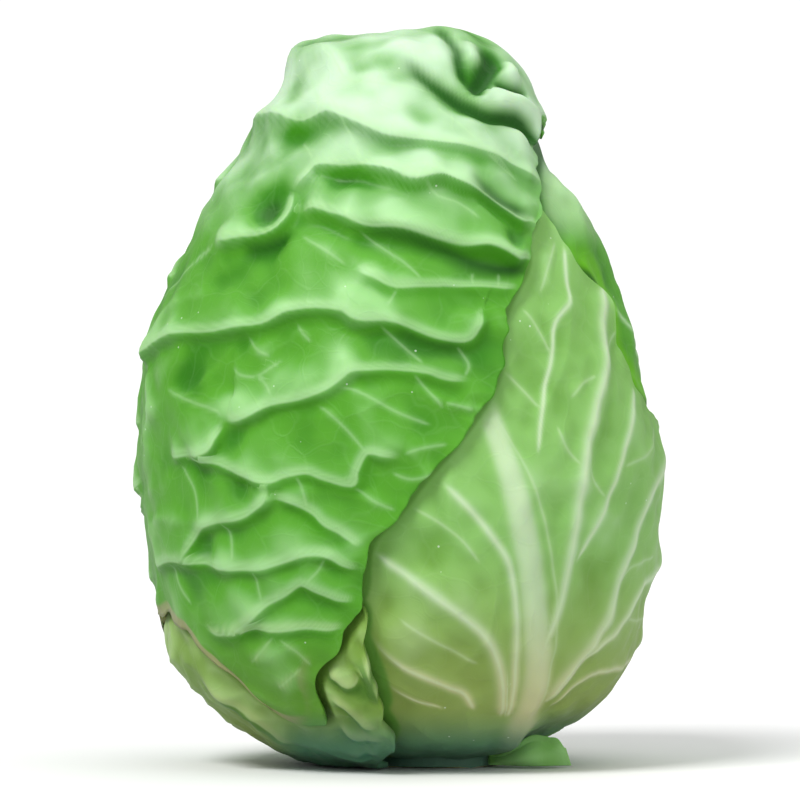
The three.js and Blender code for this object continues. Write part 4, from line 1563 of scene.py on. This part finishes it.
def feather(middle: tuple[float, float], base: float, tip: float, pairs: int) -> list[Crease]:
    """Makes the midrib and side ribs of a leaf whose own pattern the photograph hides.

    Args:
        middle: Azimuth and elevation of the leaf's middle.
        base: Degrees from there down to the foot.
        tip: Degrees from there up to the tip.
        pairs: How many side ribs there are on each side.

    Returns:
        The creases.
    """
    guide = Layer(middle, around([(0, 0), (90, 0), (180, 0)]), 0, trimmed=False)
    share = np.linspace(0, 1, 5)
    spine = guide.to_direction(np.full(5, math.pi / 2), np.radians(-base + (tip + base) * share))
    ribs = [Crease(spine, 2.2, 3, 3, vein=0.9, vein_width=2.4, ends=(1.2, 0.4))]
    for k in range(pairs):
        for side in (-1, 1):
            root = math.radians(-base + (tip + base) * (0.1 + 0.75 * k / pairs))
            t = np.linspace(0, 1, 4)
            x, y = side * t * 0.95, root + 0.65 * t * t + 0.25 * t
            line = guide.to_direction(np.arctan2(y, x), np.hypot(x, y))
            ribs.append(Crease(line, 1.1, 3.0, 3.0, vein=0.8, vein_width=1.0, ends=(1.0, 0.5)))
    return ribs


def wandering_folds(
    azimuths: tuple[float, float], elevations: tuple[float, float], count: int
) -> list[Crease]:
    """Makes folds for the side of the outer leaf that the photograph hides, like those that it shows.

    Args:
        azimuths: Where they start and end.
        elevations: The lowest and the highest.
        count: How many there are.

    Returns:
        The creases.
    """
    draw = np.random.default_rng(SEED)
    made = []
    for elevation in np.linspace(*elevations, count):
        azimuth = np.linspace(*azimuths, 7) + draw.uniform(-2, 2, 7)
        heights = elevation + np.cumsum(draw.uniform(-3.5, 3.5, 7))
        line = around(list(zip(azimuth, heights)))
        height = draw.uniform(1.6, 2.8)
        made.append(Crease(line, height, 7, FOLD_BELOW, 0.3, 0.45, FOLD_STRIPE, (0.6, 0.9), 0.7))
    return made


# The leaves' patches, outermost first: middle, margin and room
LEFT_LAYER = Layer(
    (-75, 8),
    np.vstack([
        front([
            (27.4, 156), (25.3, 144), (24.6, 135.5), (19, 124), (17, 107), (7.6, 91.5), (-7, 74),
            (-17.8, 61), (-19.5, 48), (-25, 36.5), (-31.6, 25), (-29.5, 14.5),
        ]),
        around([
            (-36, -57), (-44, -52), (-52, -46), (-60, -41), (-70, -38), (-82, -37), (-93, -38), (-103, -42),
            (-112, -51), (-122, -61), (-136, -68), (-152, -67), (-162, -56), (-160, -38), (-162, -18),
            (-165, 0), (-168, 20), (-175, 40), (170, 56), (140, 66), (105, 64),
        ]),
    ]),
    2.4,
)
LOWER_LAYER = Layer(
    (-62, -42),
    np.vstack([
        front([(-23, 46), (-19, 34), (-15.5, 26), (-13.5, 18.5), (-14, 14.5), (-11.5, 9)]),
        around([
            (-12, -72), (-10, -84), (-80, -85), (-140, -80), (-132, -62), (-126, -42), (-118, -25),
            (-95, -14), (-66, -14), (-40, -20),
        ]),
    ]),
    2.2,
)
FRONT_LAYER = Layer(
    (34, -8),
    np.vstack([
        front([
            (24, 158), (30, 150.5), (35, 139.5), (38.5, 134), (44.5, 127.5), (47.5, 115), (51, 106), (55, 99),
        ]),
        around([
            (97, -2), (102, -12), (101, -24), (100, -36), (94, -48), (86, -58), (76, -68), (60, -78),
            (10, -84), (-30, -78), (-24, -68),
        ]),
        front([(-24, 12), (-31, 32), (-36, 55), (-35, 85), (-27, 115), (-14, 140), (4, 155)]),
    ]),
    2.2,
)
RIGHT_LAYER = Layer(
    (105, 5),
    around([
        (26, 48), (42, 64), (80, 76), (130, 74), (156, 58), (160, 34), (160, 12), (156, -12), (150, -34),
        (142, -56), (128, -74), (96, -76), (78, -62), (66, -44), (56, -20), (50, 5), (36, 30),
    ]),
    2.2,
)
BACK_LAYER = Layer(
    (178, -4),
    around([
        (138, 62), (165, 70), (-165, 68), (-144, 54), (-132, 26), (-128, 0), (-132, -28), (-140, -54),
        (-155, -76), (165, -77), (140, -62), (128, -36), (122, -8), (126, 20), (134, 40),
    ]),
    2.2,
)


def left_relief() -> Relief:
    """Shapes the outer left leaf: folds that lean over, the folded cap, and the guessed folds round the back.

    Returns:
        The relief.
    """
    return Relief(
        creases=folds(LEFT_LEAF_FOLDS)
        + folds(LEFT_LEAF_LIP, undercut=0.0, vein=0.3, lean=0.0, lined=False)
        + folds(LEFT_LEAF_PLEATS, undercut=0.2, vein=0.2, lean=0.0, lined=False)
        + wandering_folds((-172, -92), (-30, 52), 7),
        veins=thin_veins(LEFT_LEAF_VEINS),
        furrows=furrows(LEFT_LEAF_FURROWS),
        dents=dents(LEFT_LEAF_DENTS),
        painted_spots=dents(LEFT_LEAF_PAINTED_SPOTS),
        swell=0.8,
        swell_length=36,
        crumple=0.8,
        crumple_length=62,
    )


def lower_relief() -> Relief:
    """Shapes the lower leaf: its crumpled margin, and a bulge that fills the gap at the outline.

    Returns:
        The relief.
    """
    return Relief(
        folds(LOWER_LEAF_FOLDS, undercut=0.5, vein=0.2),
        dents=[Dent(direction(-93, -41), 11.0, -2.2)],
        swell=0.6,
        swell_length=22,
        crumple=0.5,
        crumple_length=26,
    )


def front_relief() -> Relief:
    """Shapes the front right leaf: the broad midrib, steeper on its left, and its fan of ribs.

    Returns:
        The relief.
    """
    ribs = []
    for px, height, width, stripe, ends in FRONT_LEAF_RIBS:
        fine = stripe < BROAD_RIB
        above = width if fine else 0.65 * width
        ribs.append(
            Crease(seen(px), height, above, width, vein=0.75, vein_width=stripe, ends=ends, lined=fine)
        )
    return Relief(
        ribs,
        thin_veins(FRONT_LEAF_VEINS),
        dents=dents(FRONT_LEAF_DENTS),
        swell=0.5,
        swell_length=30,
        crumple=0.4,
        crumple_length=34,
        crumple_squash=0.7,
    )


def make_leaves() -> list[Leaf]:
    """Describes the wrapper leaves, outermost first.

    Returns:
        The leaves.
    """
    right = Relief(feather((105, 5), 74, 45, 5), dents=dents([(566, 190, 9.0, -2.4)]), swell=0.6)
    back = Relief(feather((178, -4), 72, 45, 5), swell=0.6)
    over = [LEFT_LAYER, LOWER_LAYER, FRONT_LAYER, RIGHT_LAYER]
    return [
        Leaf(
            "outer_leaf_left", LEFT_LAYER, [], left_relief(), GREEN_LEAF, (216, 340),
            flare=0.4, raised=0.5, crowd=0.25,
        ),
        Leaf(
            "lower_leaf_left", LOWER_LAYER, over[:1], lower_relief(), YELLOW_LEAF, (170, 170),
            hide=(0, 3), frill=0.7, flare=0.6, raised=1.6, rises=7,
        ),
        Leaf(
            "outer_leaf_front_right", FRONT_LAYER, over[:2], front_relief(), PALE_LEAF, (290, 240),
            flare=0.5, raised=0.3,
        ),
        Leaf("outer_leaf_right", RIGHT_LAYER, over[:3], right, GREEN_LEAF, (170, 170)),
        Leaf("outer_leaf_back", BACK_LAYER, over, back, PALE_LEAF, (150, 150)),
    ]


@dataclass(frozen=True)
class StemFinish:
    """Cut stem: wet cream flesh with darker rings, so the cut catches a soft shine.

    Args:
        name: The material's name.
        flesh: The cream of the cut face.
        ring: The rings in it.
        speck: The ends of its fibres.
        side: The green of the stem's side and of the heart.
        ring_size: Over what length the rings repeat, in metres.
        speck_size: How big the specks are, in metres.
    """

    name: str = "cut_stem"
    flesh: str = "DDE0B0"
    ring: str = "B9C98A"
    speck: str = "8F9E5C"
    side: str = "5E8E74"
    ring_size: float = 30 * MM
    speck_size: float = 1.6 * MM

    def make(self) -> bpy.types.Material:
        """Makes the material.

        Returns:
            The material.
        """
        material = bpy.data.materials.new(self.name)
        material.use_nodes = True
        n = Nodes(material.node_tree)
        place = n.add("ShaderNodeTexCoord").outputs["Object"]
        rings = n.add(
            "ShaderNodeTexWave",
            {"Vector": place, "Scale": 1 / self.ring_size, "Distortion": 3.0, "Detail": 2.0},
            wave_type="RINGS",
            rings_direction="Z",
        )
        grain = n.add("ShaderNodeTexNoise", {"Vector": place, "Scale": 1 / self.speck_size, "Detail": 4.0})
        specks = grain.outputs["Fac"]
        normal = n.add("ShaderNodeTexCoord").outputs["Normal"]
        upward = n.add("ShaderNodeSeparateXYZ", {0: normal}).outputs["Z"]
        level = n.add("ShaderNodeMath", {0: upward}, operation="ABSOLUTE").outputs[0]
        colour = n.lay(self.flesh, self.ring, 1.0, (rings.outputs["Fac"],))
        colour = n.lay(colour, self.speck, 0.35, (specks,))
        colour = n.lay(colour, self.side, 1.0, (level, 0.8, 0.4))
        bump = n.add("ShaderNodeBump", {"Height": specks, "Strength": 0.4, "Distance": 0.4 * MM})
        flesh = n.add(
            "ShaderNodeBsdfPrincipled",
            {
                "Base Color": colour,
                "Roughness": 0.5,
                "Subsurface Weight": 0.3,
                "Subsurface Radius": (1.0, 1.0, 0.5),
                "Subsurface Scale": 2 * MM,
                "Normal": bump.outputs["Normal"],
            },
        )
        n.add("ShaderNodeOutputMaterial", {"Surface": flesh.outputs[0]})
        return material


@dataclass
class LeafStub:
    """The torn leaf base at the bottom right, a short scoop that curls up at its tip.

    Args:
        root: Its lower end at the stem.
        tip: Its lower end at the right.
        heights: At the root and at the tip.
        bulge: How far its middle stands out to the front.
        thickness: Of the blade.
        columns: Cells along it.
        rows: Cells up it.
        from_base: How far from the stem its finish takes it to be, in millimetres.
        from_edge: How far from a margin, likewise.
    """

    root: tuple[float, float, float] = (14.4, -16.2, 0.8)
    tip: tuple[float, float, float] = (35.0, -17.0, 0.7)
    heights: tuple[float, float] = (2.8, 8.6)
    bulge: float = 5.0
    thickness: float = 1.2
    columns: int = 60
    rows: int = 30
    from_base: float = 62.0
    from_edge: float = 10.0

    def face(self, outside: bool) -> np.ndarray:
        """Works out one face.

        Args:
            outside: Whether this is the outer face.

        Returns:
            The vertices.
        """
        up, along = (g.ravel() for g in np.meshgrid(
            np.linspace(0, 1, self.rows + 1), np.linspace(0, 1, self.columns + 1), indexing="ij"
        ))
        out = self.bulge * np.sin(math.pi * along) * (0.4 + 0.6 * np.sin(math.pi * np.minimum(1, 0.2 + up)))
        tall = self.heights[0] + (self.heights[1] - self.heights[0]) * smoothstep(along, 0, 0.8)
        tall = tall * (1 - 0.12 * np.sin(3 * math.pi * along)) * (1 - 0.45 * smoothstep(along, 0.82, 1) ** 2)
        place = np.array(self.root) + np.outer(along, np.subtract(self.tip, self.root))
        wave = 0.35 * np.sin(9 * along + 3 * up)
        shift = np.stack([1.5 * along * (1 - up), -out + 1.5 * up * (1 - along) + wave, up * tall], axis=1)
        place = place + shift
        if not outside:
            inwards = np.stack([np.full_like(up, -0.35), np.ones_like(up), 0.35 * (1 - up)], axis=1)
            place = place + unit(inwards) * self.thickness
        return place

    def build(self) -> bpy.types.Object:
        """Makes the stub.

        Returns:
            Its object.
        """
        outer, inner = self.face(True), self.face(False)
        c, r, first = self.columns, self.rows, len(outer)
        j, i = np.divmod(np.arange(c * r), c)
        a = j * (c + 1) + i
        quads = np.stack([a, a + 1, a + c + 2, a + c + 1], axis=1)
        low, side = np.arange(c), np.arange(r) * (c + 1)
        top = r * (c + 1)
        pairs = np.concatenate([
            np.stack([low, low + 1], axis=1),
            np.stack([side + c, side + 2 * c + 1], axis=1),
            np.stack([top + low + 1, top + low], axis=1),
            np.stack([side + c + 1, side], axis=1),
        ])
        rim = np.stack([pairs[:, 0], pairs[:, 0] + first, pairs[:, 1] + first, pairs[:, 1]], axis=1)
        faces = np.vstack([quads, quads[:, ::-1] + first, rim]).tolist()
        vertices = np.vstack([outer, inner])
        count = len(vertices)
        values = {key: np.zeros(count) for key in FADING_MARKS}
        values |= {
            "height": 0.3 * Waves(9, SEED + 5).at(vertices),
            "crest": 2.2 + 0.8 * Waves(14, SEED + 6).at(vertices),
            "cover": np.full(count, UNCOVERED),
            "from_base": np.full(count, self.from_base),
            "from_edge": np.full(count, self.from_edge),
        }
        return MeshData(vertices, faces, values).to_object("leaf_stub_skin")


class Side(Enum):
    """Where a light shines from, seen from the camera."""

    KEY = (-0.75, -1.0, 1.5)
    TOP = (0.3, 0.2, 1.6)
    FILL = (1.3, -1.3, 0.45)


@dataclass(frozen=True)
class Lamp:
    """A soft light that is as strong on the whole floor.

    Args:
        side: Where it shines from.
        strength: In watts a square metre.
        softness: How wide it looks from the head, in degrees.
    """

    side: Side
    strength: float
    softness: float

    def build(self) -> bpy.types.Object:
        """Makes the light.

        Returns:
            The light.
        """
        name = self.side.name.lower()
        data = bpy.data.lights.new(name, "SUN")
        data.energy = self.strength
        data.angle = math.radians(self.softness)
        light = bpy.data.objects.new(name, data)
        light.location = self.side.value
        light.rotation_euler = (-Vector(self.side.value)).to_track_quat("-Z", "Y").to_euler()
        bpy.context.scene.collection.objects.link(light)
        return light


@dataclass
class Studio:
    """The floor, the light and the camera.

    Args:
        distance: From the camera to the head, in metres.
        elevation: How far the camera looks down, in degrees.
        floor_size: The floor's side, in metres.
        paper: The floor's colour as the camera sees it.
        bounce: The floor's colour to the light that it sends back, which keeps the head's underside dark.
        sky: How strong the surroundings are to the head from below and from above, and to the camera.
        lamps: The lights.
    """

    distance: float = 2.4
    elevation: float = 1.5
    floor_size: float = 60.0
    paper: str = "FAFAFA"
    bounce: str = "C4C4C4"
    sky: tuple[float, float, float] = (0.14, 0.5, 1.07)
    lamps: tuple[Lamp, ...] = (Lamp(Side.KEY, 2.05, 22), Lamp(Side.TOP, 0.65, 50), Lamp(Side.FILL, 0.75, 60))

    def floor(self) -> bpy.types.Object:
        """Lays the pale floor.

        Returns:
            The floor.
        """
        bpy.ops.mesh.primitive_plane_add(size=self.floor_size, location=(0, 0, 0))
        ground = bpy.context.object
        ground.name = "floor"
        material = bpy.data.materials.new("matt_white_paper")
        material.use_nodes = True
        n = Nodes(material.node_tree)
        seen_directly = n.add("ShaderNodeLightPath").outputs["Is Camera Ray"]
        paper = n.lay(self.bounce, self.paper, 1.0, (seen_directly,))
        skin = n.add("ShaderNodeBsdfPrincipled", {"Base Color": paper, "Roughness": 0.9})
        n.add("ShaderNodeOutputMaterial", {"Surface": skin.outputs[0]})
        ground.data.materials.append(material)
        return ground

    def camera(self) -> bpy.types.Object:
        """Puts up the camera, whose picture has the photograph's scale.

        Returns:
            The camera.
        """
        data = bpy.data.cameras.new("camera")
        data.sensor_width = 36
        data.lens = data.sensor_width * self.distance / (PHOTO_PIXELS * PIXEL_MM * MM)
        data.clip_end = 100
        data.dof.use_dof = False
        camera = bpy.data.objects.new("camera", data)
        half = PHOTO_PIXELS / 2
        across, up = (side * PIXEL_MM * MM for side in (half - ORIGIN_PIXEL[0], ORIGIN_PIXEL[1] - half))
        middle = Vector((across, 0, up))
        tilt = math.radians(self.elevation)
        camera.location = middle + self.distance * Vector((0, -math.cos(tilt), math.sin(tilt)))
        camera.rotation_euler = (math.pi / 2 - tilt, 0, 0)
        bpy.context.scene.collection.objects.link(camera)
        bpy.context.scene.camera = camera
        return camera

    def world(self) -> None:
        """Makes the white surroundings."""
        world = bpy.data.worlds.new("white_room")
        bpy.context.scene.world = world
        world.use_nodes = True
        n = Nodes(world.node_tree)
        seen_directly = n.add("ShaderNodeLightPath").outputs["Is Camera Ray"]
        where = n.add("ShaderNodeTexCoord").outputs["Generated"]
        up = n.add("ShaderNodeSeparateXYZ", {0: where}).outputs["Z"]
        below, above, behind = self.sky
        rise = n.share(above - below, (up, -0.3, 0.8))
        soft = n.add("ShaderNodeMath", {0: rise, 1: below}, operation="ADD").outputs[0]
        white = n.share(behind, (seen_directly,))
        strength = n.add("ShaderNodeMath", {0: soft, 1: white}, operation="MAXIMUM").outputs[0]
        sky = n.add("ShaderNodeBackground", {"Color": (1, 1, 1, 1), "Strength": strength})
        n.add("ShaderNodeOutputWorld", {"Surface": sky.outputs[0]})

    def build(self) -> None:
        """Sets the studio up."""
        self.floor()
        [lamp.build() for lamp in self.lamps]
        self.camera()
        self.world()
        bpy.context.scene.view_settings.view_transform = "Standard"


def main() -> None:
    """Builds the scene, piece by piece."""
    logging.basicConfig(level=logging.INFO, format="%(message)s")
    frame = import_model()
    for leaf in make_leaves():
        dress(leaf.build(), leaf.finish, leaf.name)
    dress(LeafStub().build(), GREEN_LEAF, "leaf_stub")
    heart = frame["nodes"]["heart_and_stem"]
    heart.data.materials.clear()
    heart.data.materials.append(StemFinish().make())
    log.info("heart_and_stem: the solid itself")
    Studio().build()


if __name__ == "__main__":
    main()
